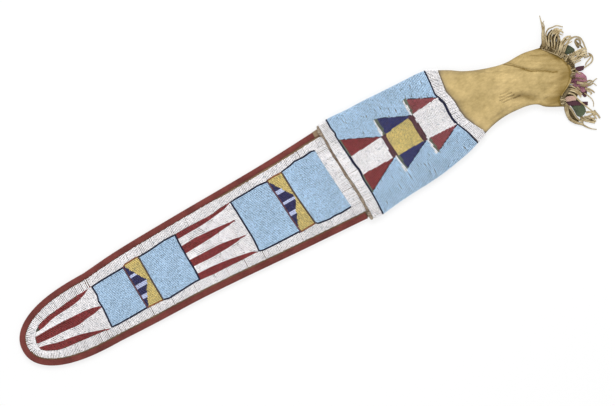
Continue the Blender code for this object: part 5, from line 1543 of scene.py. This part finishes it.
green_wool = felt("green_wool", (0.092, 0.124, 0.068), (0.030, 0.048, 0.030))
purple_wool = felt("purple_wool", (0.080, 0.034, 0.048), (0.036, 0.016, 0.024))
mauve_wool = felt("mauve_wool", (0.400, 0.190, 0.240), (0.100, 0.034, 0.052))
pink_wool = felt("pink_wool", (0.500, 0.340, 0.265), (0.320, 0.205, 0.160))
make_cloth(
    "green_cloth", green_wool,
    ((340.4, 7, 4), (346.3, 9, 5), (351.2, 12.1, 5.4), (356.3, 12.6, 5), (361.6, 8.1, 3.4), (365.8, 0.5, 2)),
    ((340.4, 0, 4), (346.3, -0.5, 5), (351.3, -1.5, 5), (356.5, -2.2, 4), (360.6, -2.8, 3), (364.3, -3, 2)),
    "upper_green_tab",
)
make_cloth(
    "purple_cloth", purple_wool,
    ((339.4, -16, 4), (346.3, -20, 5), (352.3, -22.5, 5), (358.5, -23.6, 4), (366.3, -26.6, 2.4)),
    ((339.4, -21, 4), (346.3, -25.1, 5), (352.3, -28.6, 4.6), (357.6, -30.7, 3.4), (362.8, -31.3, 2.2)),
    "upper_purple_tab",
)
make_cloth(
    "mauve_cloth", mauve_wool,
    ((345.3, -27.1, 7), (351.7, -29.6, 6.6), (358.2, -33.1, 5.4), (360.8, -41.1, 4.8), (359, -47.1, 4),
     (356.1, -53.2, 3), (353.8, -58.2, 2.2)),
    ((335.1, -36.1, 8), (337.2, -41.1, 8), (338.6, -46.1, 7), (340.2, -50.1, 6), (342.9, -54.2, 4.4),
     (344.6, -57.2, 3), (346.7, -59.2, 2.2)),
    "mauve_tab", 1.2, 1.3,
)
make_cloth(
    "lower_purple_cloth", purple_wool,
    ((319.2, -56.2, 4.8), (325.2, -59.2, 5.2), (330.2, -62.2, 4.8), (333.4, -66.2, 4), (339.6, -69.7, 3),
     (346.3, -73.3, 2)),
    ((317.8, -61.2, 4.4), (319.7, -65.2, 4.8), (325.3, -68.2, 4.6), (330.4, -70.7, 3.8), (337.7, -75.3, 2.4),
     (343.9, -77.8, 1.4)),
    "lower_purple_tab", 0.4,
)
make_cloth(
    "lower_green_cloth", green_wool,
    ((325.6, -52.2, 2.4), (332.6, -60.2, 2.6), (335.1, -65.2, 2.8), (337.6, -71.2, 3), (338.8, -78.3, 2.6),
     (337.2, -83.8, 2), (332.8, -86.9, 1.5)),
    ((316.6, -53.2, 2.4), (320.6, -60.2, 2.6), (322, -66.2, 2.8), (322.8, -72.3, 3), (323, -78.3, 2.6),
     (323.3, -83.3, 2), (326.3, -87.4, 1.5)),
    "lower_green_tab", 0.6,
)
make_cloth(
    "dark_cloth", purple_wool,
    ((350.9, -55.2, 1.6), (352.4, -59.2, 1.4), (350.5, -63.3, 1), (348, -66.3, 0.6)),
    ((344.8, -56.2, 1.6), (344.4, -60.2, 1.4), (344.4, -63.3, 1), (345.5, -65.8, 0.6)),
    None, 0.4,
)
make_cloth(
    "pink_cloth", pink_wool,
    ((318.9, -52.6, 6.6), (323.9, -53.1, 7), (329.4, -55.1, 6.6), (334.6, -58.6, 5.8)),
    ((318.4, -58.1, 6.4), (322.4, -60.1, 6.6), (327.5, -61.6, 6.2), (332.1, -63.7, 5.6)),
    None, 0.5,
)
